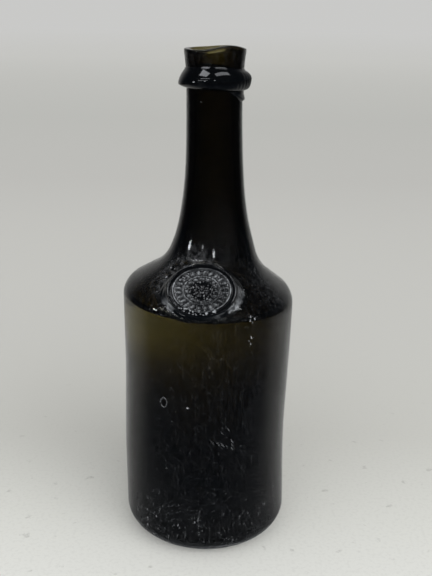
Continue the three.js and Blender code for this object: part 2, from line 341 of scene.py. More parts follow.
def build_table():
    mesh = bpy.data.meshes.new("table")
    shape = bmesh.new()
    bmesh.ops.create_circle(shape, cap_ends=True, radius=TABLE_RADIUS, segments=TABLE_SIDES)
    shape.to_mesh(mesh)
    shape.free()
    table = bpy.data.objects.new("table", mesh)
    table.location.z = -TABLE_DROP
    bpy.context.scene.collection.objects.link(table)
    mesh.materials.append(paper())


build_table()
print("table radius in m:", TABLE_RADIUS)

# %% [markdown]
# ## The room and its windows
# Behind the camera lay a darker room with a few small windows high up. The room
# is the world, which lights matt things, and whose brightness for mirror rays
# depends on the direction. The windows could light everything too, but then the
# paper would lose its even tone. So they are lamps that only mirrors see.

# %% Room and lamps
ROOM_PALE = (0.42, 0.42, 0.41, 1.0)
ROOM_WINDOWS = (5.0, 5.0, 4.95, 1.0)
ROOM_DIM = (2.5, 2.5, 2.5, 1.0)
ROOM_CEILING = (0.03, 0.032, 0.04, 1.0)
ROOM_FRONT = (0.02, 0.028, 0.038, 1.0)
TOWARDS_CEILING = (0.25, 0.7)
TOWARDS_FRONT = (0.0, 0.8)
OVER_WINDOWS = (0.6, 0.95)
TOWARDS_RIGHT = (-0.6, 0.6)
AIM = Vector((0.0, 0.0, 0.2))
DAYLIGHT = (0.93, 0.96, 1.0)
WINDOW_DISTANCE = 1.6
# name, bearing and elevation in degrees, width and height in metres, and radiance
WINDOWS = (
    ("window_left", -54.0, 55.0, 0.78, 0.48, 7.2),
    ("window_right", 38.0, 58.0, 1.1, 0.4, 4.6),
    ("sill_upper", -34.0, 36.0, 0.9, 0.06, 8.0),
    ("sill_lower", -40.0, 24.0, 1.0, 0.06, 8.0),
    ("lamp_left", -71.0, 11.0, 0.2, 0.12, 20.0),
    ("lamp_middle", -30.0, 15.5, 0.13, 0.05, 20.0),
    ("lamp_right", 3.0, 17.5, 0.13, 0.06, 20.0),
)


def build_room():
    world = bpy.data.worlds.new("room")
    bpy.context.scene.world = world
    world.use_nodes = True
    tree = world.node_tree
    tree.nodes.clear()
    right, back, up = split_up(Wire.node(tree, "ShaderNodeTexCoord", output="Generated"))
    walls = mixed(back.step(*TOWARDS_BACK), ROOM_FRONT, MIRROR_BACK)
    mirrored = mixed(up.step(*TOWARDS_CEILING), walls, ROOM_CEILING)
    front = (back * -1).step(*TOWARDS_FRONT) * (1 - up.step(*OVER_WINDOWS))
    windows = mixed(right.step(*TOWARDS_RIGHT), ROOM_DIM, ROOM_WINDOWS)
    colour = mixed(ray_is(tree, "Glossy"), mixed(front, ROOM_PALE, windows), mirrored)
    colour = mixed(ray_is(tree, "Camera"), colour, ROOM_SEEN)
    sky = Wire.node(tree, "ShaderNodeBackground", sockets={"Color": colour, "Strength": 1.0})
    Wire.node(tree, "ShaderNodeOutputWorld", sockets={"Surface": sky})


def add_window(name, bearing, elevation, width, height, radiance):
    """A window seen in the glass. Its bearing runs from -Y towards +X."""
    turn = math.radians(bearing)
    lift = math.radians(elevation)
    out = Vector((math.sin(turn) * math.cos(lift), -math.cos(turn) * math.cos(lift), math.sin(lift)))
    lamp = bpy.data.lights.new(name, "AREA")
    lamp.shape = "RECTANGLE"
    lamp.size = width
    lamp.size_y = height
    lamp.energy = radiance * math.pi * width * height
    lamp.color = DAYLIGHT
    thing = bpy.data.objects.new(name, lamp)
    thing.location = AIM + out * WINDOW_DISTANCE
    thing.visible_diffuse = False
    thing.rotation_mode = "QUATERNION"
    thing.rotation_quaternion = out.to_track_quat("Z", "Y")
    bpy.context.scene.collection.objects.link(thing)


build_room()
for window in WINDOWS:
    add_window(*window)

# %% [markdown]
# ## Outlines
# A blown vessel is round before it is untrue, so its shape starts as a section
# that is turned about the axis. The section could be traced, but arcs and a few
# smooth curves say the same in sizes that a glassmaker knows. All of this is in
# millimetres, with the radius first and the height second.

# %% Outline helpers
LEAST_STEP = 0.01
BELL_TOP_HANDLE = 0.42
BELL_EDGE_HANDLE = 0.8


def share_of(value, low, high):
    return min(max((value - low) / (high - low), 0.0), 1.0)


def smoothstep(value, low, high):
    share = share_of(value, low, high)
    return share * share * (3 - 2 * share)


def at_least(least, share):
    """A share lifted so that it starts at a least value and still ends at 1."""
    return least + (1 - least) * share


def polar(radius, bearing, height):
    return Vector((radius * math.cos(bearing), radius * math.sin(bearing), height))


def arc(centre, radius, start, end, steps):
    turns = [start + (end - start) * i / steps for i in range(steps + 1)]
    return [Vector((centre[0] + radius * math.cos(t), centre[1] + radius * math.sin(t))) for t in turns]


def curve(start, start_handle, end_handle, end, steps):
    corners = [Vector(p) for p in (start, start_handle, end_handle, end)]
    points = []
    for i in range(steps + 1):
        t = i / steps
        weights = ((1 - t) ** 3, 3 * t * (1 - t) ** 2, 3 * t * t * (1 - t), t ** 3)
        points.append(sum((c * w for c, w in zip(corners, weights)), Vector((0.0, 0.0))))
    return points


def inward(point, slope, length):
    """The point reached from another by going up a slope towards the axis."""
    return Vector((point[0] - length * math.cos(slope), point[1] + length * math.sin(slope)))


def joined(*stretches):
    points = []
    for stretch in stretches:
        for point in stretch:
            if not points or (points[-1] - point).length > LEAST_STEP:
                points.append(point)
    return points


def offset(points, start, end, share_at=None):
    """The outline moved to the right of its direction of travel, by an easing distance."""
    moved = []
    last = len(points) - 1
    for i, point in enumerate(points):
        along = (points[min(i + 1, last)] - points[max(i - 1, 0)]).normalized()
        share = share_at(point[1]) if share_at else i / last
        distance = start + (end - start) * share
        moved.append(Vector((point[0] + along[1] * distance, point[1] - along[0] * distance)))
    return moved


def bell(peak, edge_radius, edge_level, steps):
    """From a peak on the axis down to a level edge."""
    handles = (edge_radius * BELL_TOP_HANDLE, peak), (edge_radius * BELL_EDGE_HANDLE, edge_level)
    return curve((0.0, peak), *handles, (edge_radius, edge_level), steps)


def level_of(points, radius):
    """How high an outline is where it passes a radius."""
    for before, after in zip(points, points[1:]):
        if (after[0] - radius) * (before[0] - radius) <= 0:
            return before[1] + (after[1] - before[1]) * (radius - before[0]) / (after[0] - before[0])
    raise ValueError("the outline never passes this radius")


print("height of a bell of 20 mm halfway out:", round(level_of(bell(20.0, 30.0, 0.0, 24), 15.0), 1))

# %% [markdown]
# ## How the glass settled
# Hot glass sags while it cools. On this bottle the body bows by a millimetre,
# the neck stands off centre, the right shoulder hangs lower than the left, and
# the lip rises at the back right. One rule moves every piece, as in the solids,
# so that the applied glass goes where the vessel goes.

# %% The settling rule
SHOULDER_HEIGHT = 142.0
SHOULDER_ROUNDING = 11.7
BODY_LEAN = -1.05
BODY_LEAN_SHARE = 0.83
NECK_LEAN = 1.7
NECK_LEAN_RUN = 38.0
NECK_BOW = 0.6
NECK_BOW_LEAD = 23.0
NECK_BOW_FADE = 45.0
SHOULDER_SLUMP = math.radians(3.0)
SLUMP_LEAD = 30.0
SLUMP_RUN = 38.0
LIP_HEIGHT = 275.2
LIP_LENGTH = 23.2
NECK_TOP = LIP_HEIGHT - LIP_LENGTH
LIP_WAVE_DEPTH = 9.0
LIP_WAVE_TIGHTNESS = 5.0
LIP_WAVES = (
    (0.95, math.radians(60)),
    (2.2, math.radians(-60)),
    (-0.3, math.radians(-125)),
)


def swell(bearing, centre, tightness):
    """1 at one bearing, fading to the sides."""
    return math.exp(tightness * (math.cos(bearing - centre) - 1))


def settled(point):
    """Where a point of the true form ends up, still in millimetres."""
    x, y, z = point
    bearing = math.atan2(y, x)
    up = share_of(z, 0.0, SHOULDER_HEIGHT * BODY_LEAN_SHARE)
    bow = math.sin(math.pi * up) ** 2
    neck_share = smoothstep(z, SHOULDER_HEIGHT, SHOULDER_HEIGHT + NECK_LEAN_RUN)
    bow_share = smoothstep(z, SHOULDER_HEIGHT, SHOULDER_HEIGHT + NECK_BOW_LEAD)
    bow_share *= 1 - smoothstep(z, NECK_TOP - NECK_BOW_FADE, NECK_TOP)
    slump_in = smoothstep(z, SHOULDER_HEIGHT - SLUMP_LEAD, SHOULDER_HEIGHT)
    slump_out = smoothstep(z, SHOULDER_HEIGHT + SHOULDER_ROUNDING, SHOULDER_HEIGHT + SLUMP_RUN)
    lip_share = smoothstep(z, LIP_HEIGHT - LIP_WAVE_DEPTH, LIP_HEIGHT)
    lip_wave = sum(lift * swell(bearing, centre, LIP_WAVE_TIGHTNESS) for lift, centre in LIP_WAVES)
    sag = x * math.tan(SHOULDER_SLUMP) * slump_in * (1 - slump_out)
    aside = BODY_LEAN * bow + NECK_LEAN * neck_share + NECK_BOW * bow_share
    return Vector((x + aside, y, z - sag + lip_wave * lip_share))


print("the mouth's centre goes to:", [round(value, 1) for value in settled((0.0, 0.0, LIP_HEIGHT))])

# %% [markdown]
# ## From a section to a piece
# A screw modifier turns a section too, but a rule has to know which ring a
# corner lies on, because the inside moves otherwise than the outside. So a short
# loop turns it corner by corner, with a rule of the piece's own. Every piece is
# settled and placed by one function, which also says what node it stands for.

# %% Turning and placing
ON_AXIS = 0.001


def turned(section, turns, rule=None, closed=False):
    """A mesh from a section turned about the axis. rule moves each point of each ring first."""
    shape = bmesh.new()
    rings = []
    for radius, height in section:
        if radius < ON_AXIS:
            rings.append([shape.verts.new((0.0, 0.0, height))])
            continue
        ring = []
        for i in range(turns):
            place = polar(radius, 2 * math.pi * i / turns, height)
            ring.append(shape.verts.new(rule(place, len(rings)) if rule else place))
        rings.append(ring)
    pairs = list(zip(rings, rings[1:]))
    if closed:
        pairs.append((rings[-1], rings[0]))
    for low, high in pairs:
        for i in range(turns):
            j = (i + 1) % turns
            corners = [low[i % len(low)], low[j % len(low)], high[j % len(high)], high[i % len(high)]]
            shape.faces.new(list(dict.fromkeys(corners)))
    bmesh.ops.recalc_face_normals(shape, faces=shape.faces)
    return shape


def piece_from(shape, name, node, material):
    """Settles a shape in millimetres into a smooth piece in metres, in place of a node."""
    for corner in shape.verts:
        corner.co = settled(corner.co) * MM
    mesh = bpy.data.meshes.new(name)
    shape.to_mesh(mesh)
    shape.free()
    for face in mesh.polygons:
        face.use_smooth = True
    mesh.materials.append(material)
    piece = bpy.data.objects.new(name, mesh)
    bpy.context.scene.collection.objects.link(piece)
    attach(piece, "root")
    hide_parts(node)
    print(name, len(mesh.polygons), "faces")
    return piece


# %% [markdown]
# ## The outside of the vessel
# One gather of glass: kick-up, heel, body, shoulder, neck and lip. The outside
# follows the packed solid, stretch by stretch, so that each stretch can later
# have a wall of its own.

# %% Outside section
FOOT_RADIUS = 46.4
UPPER_RADIUS = 46.9
WAIST_DRAW = 0.55
HEEL_ROUNDING = 14.5
HEEL_REACH = 20.0
RING_WIDTH = 2.4
KICK_UP_HEIGHT = 22.0
SHOULDER_SLOPE = math.radians(34.2)
SHOULDER_RUN = 11.5
SLOPE_STEPS = 6
NECK_FOOT_ROUNDING = 23.6
NECK_FOOT_STEEPNESS = math.radians(71.3)
NECK_FOOT_REACH = 17.3
NECK_RADIUS = 14.6
NECK_REACH = 50.6
LIP_RADIUS = 15.95
LIP_ROUNDING = 1.5
LIP_EDGE = LIP_HEIGHT - LIP_ROUNDING
LIP_START_HANDLE = 0.5
LIP_END_HANDLE = 0.2


def outside_section():
    ring_outer = FOOT_RADIUS - HEEL_REACH
    underside = bell(KICK_UP_HEIGHT, ring_outer - RING_WIDTH, 0.0, steps=30)
    round_heel = arc((0.0, HEEL_ROUNDING), HEEL_ROUNDING, -math.pi / 2, 0.0, steps=20)
    heel = [Vector((ring_outer + p[0] * HEEL_REACH / HEEL_ROUNDING, p[1])) for p in round_heel]
    third = (SHOULDER_HEIGHT - HEEL_ROUNDING) / 3
    wall = curve(
        (FOOT_RADIUS, HEEL_ROUNDING),
        (FOOT_RADIUS - WAIST_DRAW, HEEL_ROUNDING + third),
        (UPPER_RADIUS - WAIST_DRAW, SHOULDER_HEIGHT - third),
        (UPPER_RADIUS, SHOULDER_HEIGHT),
        steps=40,
    )
    centre = (UPPER_RADIUS - SHOULDER_ROUNDING, SHOULDER_HEIGHT)
    corner = arc(centre, SHOULDER_ROUNDING, 0.0, math.pi / 2 - SHOULDER_SLOPE, steps=18)
    slope_end = inward(corner[-1], SHOULDER_SLOPE, SHOULDER_RUN)
    slope = [corner[-1].lerp(slope_end, i / SLOPE_STEPS) for i in range(SLOPE_STEPS + 1)]
    foot_centre = (
        slope_end[0] + NECK_FOOT_ROUNDING * math.sin(SHOULDER_SLOPE),
        slope_end[1] + NECK_FOOT_ROUNDING * math.cos(SHOULDER_SLOPE),
    )
    below = 1.5 * math.pi
    foot_turn = (below - SHOULDER_SLOPE, below - NECK_FOOT_STEEPNESS)
    foot = arc(foot_centre, NECK_FOOT_ROUNDING, *foot_turn, steps=16)
    neck = curve(
        foot[-1],
        inward(foot[-1], NECK_FOOT_STEEPNESS, NECK_FOOT_REACH),
        (NECK_RADIUS, NECK_TOP - NECK_REACH),
        (NECK_RADIUS, NECK_TOP),
        steps=36,
    )
    flare = LIP_EDGE - NECK_TOP
    lip = curve(
        (NECK_RADIUS, NECK_TOP),
        (NECK_RADIUS, NECK_TOP + flare * LIP_START_HANDLE),
        ((LIP_RADIUS + NECK_RADIUS) / 2, LIP_EDGE - flare * LIP_END_HANDLE),
        (LIP_RADIUS, LIP_EDGE),
        steps=20,
    )
    return underside, heel, wall, joined(corner, slope), foot, neck, lip


print("points of each stretch:", [len(stretch) for stretch in outside_section()])

# %% [markdown]
# ## The wall
# The inside could be the outside made smaller, but the colour of the glass comes
# from its thickness. So the inside is the outside moved in by a wall that changes
# along the way, thin under the shoulder, where the glass shows olive, and heavy
# elsewhere, where it looks black.

# %% Wall and whole section
KICK_UP_GLASS = 8.0
RING_GLASS = 7.0
LOWER_WALL = 6.0
UPPER_WALL = 2.2
THINNING_START = 53.0
THINNING_END = 134.0
TOP_SWELL = 0.12
TOP_SWELL_LEAD = 4.0
SHOULDER_WALL = 6.5
SHOULDER_THICKENING = 4.0
NECK_WALL = 5.2
LIP_WALL = 3.0
INNER_HEEL_ROUNDING = 8.0


def thinned(height):
    """How far the wall has thinned from the heavy body to the top of it, where it swells a little."""
    swelling = TOP_SWELL * smoothstep(height, THINNING_END - TOP_SWELL_LEAD, SHOULDER_HEIGHT)
    return smoothstep(height, THINNING_START, THINNING_END) - swelling


def thickened(height):
    """How far it has thickened again above the corner of the shoulder."""
    return smoothstep(height, SHOULDER_HEIGHT, SHOULDER_HEIGHT + SHOULDER_THICKENING)


def vessel_section():
    """The whole section, and the number of its first point inside."""
    underside, heel, wall, shoulder, foot, neck, lip = outside_section()
    mouth = LIP_RADIUS - LIP_WALL
    middle = (LIP_RADIUS - LIP_WALL / 2, LIP_HEIGHT)
    crown = joined(
        curve(lip[-1], (LIP_RADIUS, LIP_HEIGHT), (LIP_RADIUS, LIP_HEIGHT), middle, steps=6),
        curve(middle, (mouth, LIP_HEIGHT), (mouth, LIP_HEIGHT), (mouth, LIP_EDGE), steps=6),
    )
    heel_centre = (FOOT_RADIUS - LOWER_WALL - INNER_HEEL_ROUNDING, RING_GLASS + INNER_HEEL_ROUNDING)
    inside = joined(
        bell(KICK_UP_HEIGHT + KICK_UP_GLASS, heel_centre[0], RING_GLASS, steps=24),
        arc(heel_centre, INNER_HEEL_ROUNDING, -math.pi / 2, 0.0, steps=10),
        offset(wall, -LOWER_WALL, -UPPER_WALL, thinned)[1:],
        offset(shoulder, -UPPER_WALL, -SHOULDER_WALL, thickened)[1:-1],
        offset(foot, -SHOULDER_WALL, -NECK_WALL),
        offset(neck, -NECK_WALL, -NECK_WALL)[1:],
        offset(lip, -NECK_WALL, -LIP_WALL)[1:-1],
    )
    outside = joined(underside, heel, wall, shoulder, foot, neck, lip)
    shell = joined(outside, crown)
    return joined(shell, inside[::-1]), len(shell)


VESSEL_SECTION, INSIDE_START = vessel_section()
print("section points outside and inside:", INSIDE_START, len(VESSEL_SECTION) - INSIDE_START)

# %% [markdown]
# ## The blown surface
# A perfect turned surface gives ruler-straight reflections. The waves of blown
# glass could be a bump map, but the outline would stay perfect. Here they are
# real: slow waves of a tenth of a millimetre, a hollow that lies off centre, and
# a lip that was sheared thin in front.

# %% Vessel mesh
VESSEL_TURNS = 160
LIP_THIN = 1.1
LIP_THICK = 0.9
LIP_THIN_BEARING = math.radians(-88)
LIP_THIN_TIGHTNESS = 9.0
LIP_THIN_RANGE = (LIP_HEIGHT - 14.0, LIP_HEIGHT - 8.0)
HOLLOW_SHIFT = -1.1
WAVE_HEIGHT = 0.14
WAVE_LENGTH = 26.0
WAVE_STRETCH = 2.2
WAVE_FOOT = (2.0, 20.0)
WAVE_TOP = (255.0, 272.0)
FINE_WAVE_SHARE = 0.4
FINE_WAVES = 2.7


def widened(point, distance):
    """The point moved away from the axis."""
    growth = 1 + distance / math.hypot(point.x, point.y)
    return Vector((point.x * growth, point.y * growth, point.z))


def hollowed(point):
    """The hollow lies off centre in the body, and the lip's wall is thinner in front."""
    fade = 1 - smoothstep(point.z, SHOULDER_HEIGHT, SHOULDER_HEIGHT + SLUMP_LEAD)
    point.x += HOLLOW_SHIFT * smoothstep(point.z, 0.0, SHOULDER_HEIGHT) * fade
    thin = swell(math.atan2(point.y, point.x), LIP_THIN_BEARING, LIP_THIN_TIGHTNESS)
    change = LIP_THIN * thin - LIP_THICK * (1 - thin)
    return widened(point, change * smoothstep(point.z, *LIP_THIN_RANGE))


def blown(point, ring):
    """Slow waves, which fade out at the standing ring and the lip."""
    if ring >= INSIDE_START:
        point = hollowed(point)
    fade = smoothstep(point.z, *WAVE_FOOT) * (1 - smoothstep(point.z, *WAVE_TOP))
    spot = Vector((point.x, point.y, point.z / WAVE_STRETCH)) / WAVE_LENGTH
    wave = noise.noise(spot) + FINE_WAVE_SHARE * noise.noise(spot * FINE_WAVES)
    return widened(point, wave * WAVE_HEIGHT * fade)


vessel_shape = turned(VESSEL_SECTION, VESSEL_TURNS, blown)
print("vessel corners:", len(vessel_shape.verts))

# %% [markdown]
# ## Tools for worn glass
# Wear on a bottle is thousands of tiny marks. They could be painted by hand, but
# cells of a Voronoi pattern scatter them just as well: a cell shows a dot or
# not by its own random colour, and a stretched cell is a scratch. Larger marks
# are soft spots at a place on the glass.

# %% Specks, scratches and spots
SPECK_CORE = 0.5
SPECK_FADE = 0.3


def specks(place, scale, size, share):
    """Round dots, one in some of the cells of a Voronoi pattern, each of its own strength."""
    sockets = {"Vector": place, "Scale": scale}
    distance = Wire.node(place.tree, "ShaderNodeTexVoronoi", sockets=sockets, output="Distance")
    lot = Wire.node(place.tree, "ShaderNodeSeparateColor", sockets={0: distance.beside("Color")})
    chance = lot.step(1 - share, 1 - share + SPECK_FADE)
    return (1 - distance.step(size * SPECK_CORE, size)) * chance


def dashes(place, tilt, length, scale, size, share):
    """Short scratches: specks drawn out along a direction that leans from upright, seen from the front."""
    sockets = {"Vector": place, "Angle": math.radians(tilt)}
    leaning = Wire.node(place.tree, "ShaderNodeVectorRotate", {"rotation_type": "Y_AXIS"}, sockets)
    return specks(vectors("MULTIPLY", leaning, (1.0, 1.0, 1 / length)), scale, size, share)


def distance_to(place, spot, squash=(1.0, 1.0, 1.0)):
    """Distance in metres to a bearing, radius and height. squash shrinks it along some axes."""
    bearing, radius, height = spot
    away = vectors("SUBTRACT", place, polar(radius, math.radians(bearing), height) * MM)
    return length_of(vectors("MULTIPLY", away, squash))


def soft_spot(place, spot, core, reach, rough=0.0):
    """1 round a spot, fading out between a core and a reach in millimetres."""
    return 1 - (distance_to(place, spot) + rough).step_mm(core, reach)


print("a speck fades out over this share of its size:", 1 - SPECK_CORE)

# %% [markdown]
# ## Marks of use on the vessel
# The photograph shows chips along the shoulder's edge, a burst bubble in the
# body and two scuffed patches. Chips could be cut into the mesh, but at half a
# millimetre they show only as pale spots. So each is a spot with a rough edge,
# the bubble is a ring, and the scuffs are short dashes in a soft spot. One more
# spot beside the seal is a painted glint.

# %% Chips, bubble and scuffs
# bearing in degrees, radius, height and size
SHOULDER_CHIPS_AND_GLINT = (
    (-63.0, 46.1, 146.8, 0.5),
    (-61.5, 46.4, 145.6, 0.7),
    (-59.8, 46.6, 145.2, 0.4),
    (-58.3, 46.7, 143.8, 0.5),
    (-61.8, 46.6, 143.4, 0.5),
    (-60.2, 46.7, 142.0, 0.4),
    (-60.8, 46.8, 134.0, 0.6),
    (-62.4, 46.8, 132.6, 0.45),
    (-61.0, 46.8, 130.4, 0.5),
    (-135.2, 30.6, 159.4, 0.8),
    (-65.6, 28.6, 161.2, 0.8),
    # a painted glint, not a chip: the pool beside the seal would mirror a window here
    (-58.4, 35.1, 156.2, 0.9),
)
BODY_CHIPS = (
    (-102.0, 46.4, 95.2, 0.6),
    (-135.0, 46.3, 86.0, 0.5),
    (-110.0, 14.6, 250.0, 0.5),
    (-62.0, 14.6, 250.0, 0.4),
)
CHIP_CORE = 0.3
CHIP_NOISE = (1700.0, 3.0)
CHIP_ROUGHNESS = 2.6
BUBBLE = (-119.0, 46.4, 96.0)
BUBBLE_SQUASH = (1.25, 1.0, 0.85)
BUBBLE_RADIUS = 2.3
BUBBLE_LINE = 0.35
BUBBLE_ROUGHNESS = 0.4
BUBBLE_LEVEL = 0.5
# a spot, its core and its reach
SCUFF = ((-74.0, 46.2, 76.0), 2.8, 14.0)
SCRAPE = ((-119.0, 45.0, 148.5), 3.9, 13.0)
SCUFF_LEVEL = 0.25
# tilt, length, scale, size and share
SCUFF_DASHES = (35.0, 6.0, 800.0, 0.4, 0.6)
SCRAPE_DASHES = (-72.0, 8.0, 900.0, 0.4, 0.5)


def marks(place):
    """Chips, a painted glint beside the seal, a burst bubble and two scuffed patches, as one mask."""
    rough = (noise_at(place, *CHIP_NOISE) - 0.5) * (CHIP_ROUGHNESS * MM)
    chips_and_glint = sum(
        soft_spot(place, spot, size * CHIP_CORE, size, rough)
        for *spot, size in SHOULDER_CHIPS_AND_GLINT + BODY_CHIPS
    )
    rim_gap = distance_to(place, BUBBLE, BUBBLE_SQUASH) + rough * BUBBLE_ROUGHNESS - BUBBLE_RADIUS * MM
    bubble = 1 - abs(rim_gap).step_mm(0.0, BUBBLE_LINE)
    scrape = soft_spot(place, *SCRAPE) * dashes(place, *SCRAPE_DASHES)
    scuff = soft_spot(place, *SCUFF) * dashes(place, *SCUFF_DASHES)
    return chips_and_glint + BUBBLE_LEVEL * bubble + SCUFF_LEVEL * (scrape + scuff)


print("chips on the vessel:", len(SHOULDER_CHIPS_AND_GLINT + BODY_CHIPS))

# %% [markdown]
# ## Wear all over, and a painted highlight
# Dust lies on the shoulder, and low on the body the glass is worn, as a bottle's
# widest part rubs on its neighbours. Each kind of mark is a mask of its own with
# a level, and so is a painted highlight just above the heel. One sum gathers them
# all, so that one dull white finish can lie over the clear glass.

# %% Dust and wear
# a spot, its core, its reach and its level
SHOULDER_DUST = (
    ((-127.0, 32.0, 162.0), 4.5, 18.0, 1.0),
    ((-108.0, 22.8, 170.5), 2.25, 9.0, 1.0),
    ((-94.0, 25.0, 167.0), 1.75, 7.0, 0.7),
    ((-22.0, 40.0, 155.0), 6.0, 24.0, 0.3),
)
# tilt, length, scale, size and share
LEANING_CUTS = (62.0, 5.0, 620.0, 0.4, 0.12)
UPRIGHT_CUTS = (-8.0, 4.0, 560.0, 0.4, 0.2)
# scale, size and share
GRAINS = (560.0, 0.36, 0.27)
DOTS = (950.0, 0.46, 0.3)
GRAIN_STRETCH = (1.0, 1.0, 0.6)
# scale, detail, low, high and stretch
PATCHES = (85.0, 3.0, 0.42, 0.62)
STREAKS = (1300.0, 2.0, 0.4, 0.8, (1.0, 1.0, 0.08))
FOG = (500.0, 4.0, 0.42, 0.75, (1.0, 1.0, 0.5))
DUST_GRAIN = (420.0, 5.0, 0.38, 0.72)
# level on clean glass, and what dirt adds
GRAIN_LEVELS = (0.02, 0.34)
DOT_LEVELS = (0.025, 0.18)
STREAK_LEVEL = 0.006
CUT_LEVEL = 0.2
DUST_LEVEL = 0.09
DUST_DIRT = 0.8
PATCH_LEAST = 0.3
# everywhere, on the body, low on it, and at the lip
FOG_LEVELS = (0.001, 0.004, 0.006, 0.015)
# heights and sides between which wear fades
BASE_WEAR = (12.0, 50.0)
BODY_END = (165.0, 190.0)
LIP_HAZE = (264.0, LIP_HEIGHT)
# painted highlight: a bright band just above the heel, on the right
HEEL_HIGHLIGHT_HEIGHT = 8.3
HEEL_HIGHLIGHT_WIDTH = 0.8
HEEL_HIGHLIGHT_SIDE = (-12.0, 8.0)
HEEL_HIGHLIGHT_LEVEL = 0.11
MARKS_LEVEL = 0.4


def grit(place, dirty):
    """Grains and dots of worn glass, brighter where it is dirty."""
    grains = specks(vectors("MULTIPLY", place, GRAIN_STRETCH), *GRAINS)
    dots = specks(place, *DOTS)
    grains = grains * (GRAIN_LEVELS[0] + GRAIN_LEVELS[1] * dirty)
    return grains + dots * (DOT_LEVELS[0] + DOT_LEVELS[1] * dirty)


def painted_heel_highlight(right, height):
    """A painted highlight: a bright band just above the heel, on the right."""
    highlight_line = 1 - abs(height - HEEL_HIGHLIGHT_HEIGHT * MM).step_mm(0.0, HEEL_HIGHLIGHT_WIDTH)
    return highlight_line * right.step_mm(*HEEL_HIGHLIGHT_SIDE)


def wear_and_heel_highlight(place):
    """How far the surface pales to a dull white, from 0 to 1, with a painted highlight above the heel among
    its marks.
    """
    right, _, height = split_up(place)
    low = 1 - height.step_mm(*BASE_WEAR)
    body = 1 - height.step_mm(*BODY_END)
    lip = height.step_mm(*LIP_HAZE)
    dusty = functools.reduce(Wire.most, [soft_spot(place, *spot) * level for *spot, level in SHOULDER_DUST])
    patch = at_least(PATCH_LEAST, blotches(place, *PATCHES))
    cuts = dashes(place, *LEANING_CUTS) + dashes(place, *UPRIGHT_CUTS)
    worn = grit(place, low.most(dusty * DUST_DIRT) * patch)
    worn = worn + STREAK_LEVEL * blotches(place, *STREAKS) + CUT_LEVEL * low * patch * cuts
    everywhere, on_body, on_low, on_lip = FOG_LEVELS
    fog = blotches(place, *FOG) * (everywhere + on_body * body + on_low * low + on_lip * lip)
    dust = DUST_LEVEL * dusty * blotches(place, *DUST_GRAIN)
    # the painted highlight above the heel
    highlight_line = HEEL_HIGHLIGHT_LEVEL * painted_heel_highlight(right, height)
    return (worn * body + fog + dust + highlight_line + MARKS_LEVEL * marks(place)).clamped()


print("patches of dust:", len(SHOULDER_DUST))

# %% [markdown]
# ## Dark olive glass
# The real glass is clear olive, so deeply coloured that 10 mm of it is black. A
# dark base colour would look like paint, so the surface is real glass and the
# colour is absorption inside, which makes the thin upper wall glow and the rest
# go black by itself. Age shows as a faint grey haze with fine scratches.

# %% Vessel glass
GLASS_IOR = 1.38
OLIVE = (0.62, 0.585, 0.35, 1.0)
OLIVE_DENSITY = 1390.0
WHITE = (1.0, 1.0, 1.0, 1.0)
CLEAR_ROUGHNESS = 0.06
# dull white of worn glass, also the colour of the painted heel highlight
HAZE_AND_HIGHLIGHT = (0.44, 0.455, 0.485, 1.0)
HAZE_AND_HIGHLIGHT_ROUGHNESS = 0.6
# scale, detail and stretch
CLOUD = (38.0, 5.0)
FINE_GRAIN = (420.0, 3.0)
RIPPLES = (160.0, 2.0, (1.0, 1.0, 0.12))
FINE_GRAIN_SHARE = 0.3
RIPPLE_SHARE = 0.25
# strength, and depth in metres
VESSEL_BUMP = (0.14, 0.0002)


def vessel_glass():
    material, tree = new_material("vessel_glass")
    place = own_place(tree)
    uneven = noise_at(place, *CLOUD) + FINE_GRAIN_SHARE * noise_at(place, *FINE_GRAIN)
    uneven = uneven + RIPPLE_SHARE * noise_at(place, *RIPPLES)
    clear = Wire.node(tree, "ShaderNodeBsdfPrincipled", sockets={
        "Base Color": WHITE,
        "Roughness": CLEAR_ROUGHNESS,
        "IOR": GLASS_IOR,
        "Transmission Weight": 1.0,
        "Normal": bumped(uneven, *VESSEL_BUMP),
    })
    dull = Wire.node(tree, "ShaderNodeBsdfPrincipled", sockets={
        "Base Color": HAZE_AND_HIGHLIGHT,
        "Roughness": HAZE_AND_HIGHLIGHT_ROUGHNESS,
    })
    olive = {"Color": OLIVE, "Density": OLIVE_DENSITY}
    volume = Wire.node(tree, "ShaderNodeVolumeAbsorption", sockets=olive)
    finish_material(tree, layered(wear_and_heel_highlight(place), clear, dull), volume)
    return material


vessel = piece_from(vessel_shape, "vessel", "bottle_body", vessel_glass())
passed = [math.exp(-OLIVE_DENSITY * (1 - share) * UPPER_WALL * MM) for share in OLIVE[:3]]
print("red, green and blue that pass the thin upper wall:", [round(share, 2) for share in passed])

# %% [markdown]
# ## Black glass for the applied pieces
# The rim, the seal and the scar are so thick that nothing shows through them.
# They could have the vessel's glass, but its absorption would cost much time to
# trace for the same black. So they are black and glossy, and take a silvery
# bloom where the surface is worn. On the seal the same bloom also holds a painted
# sheen and painted highlights.

# %% Black glass
BLACK = (0.0009, 0.0011, 0.0014, 1.0)
# silvery grey of worn glass; on the seal it is also the colour of a painted sheen and painted highlights
SILVER = (0.20, 0.21, 0.225, 1.0)


def finish_black(tree, colour, roughness, normal, ior=GLASS_IOR):
    surface = Wire.node(tree, "ShaderNodeBsdfPrincipled", sockets={
        "Base Color": colour,
        "Roughness": roughness,
        "IOR": ior,
        "Normal": normal,
    })
    finish_material(tree, surface)


print("share of light mirrored head-on:", round(((GLASS_IOR - 1) / (GLASS_IOR + 1)) ** 2, 3))

# %% [markdown]
# ## The string rim
# A trail of hot glass was laid once round the neck, as a ledge for the string
# that held the cork. It could be a torus, but a laid trail has a low sharp
# crest where it started and a full round one where it closed. So the section is
# turned like the vessel, and a rule then tilts and swells it round the neck.

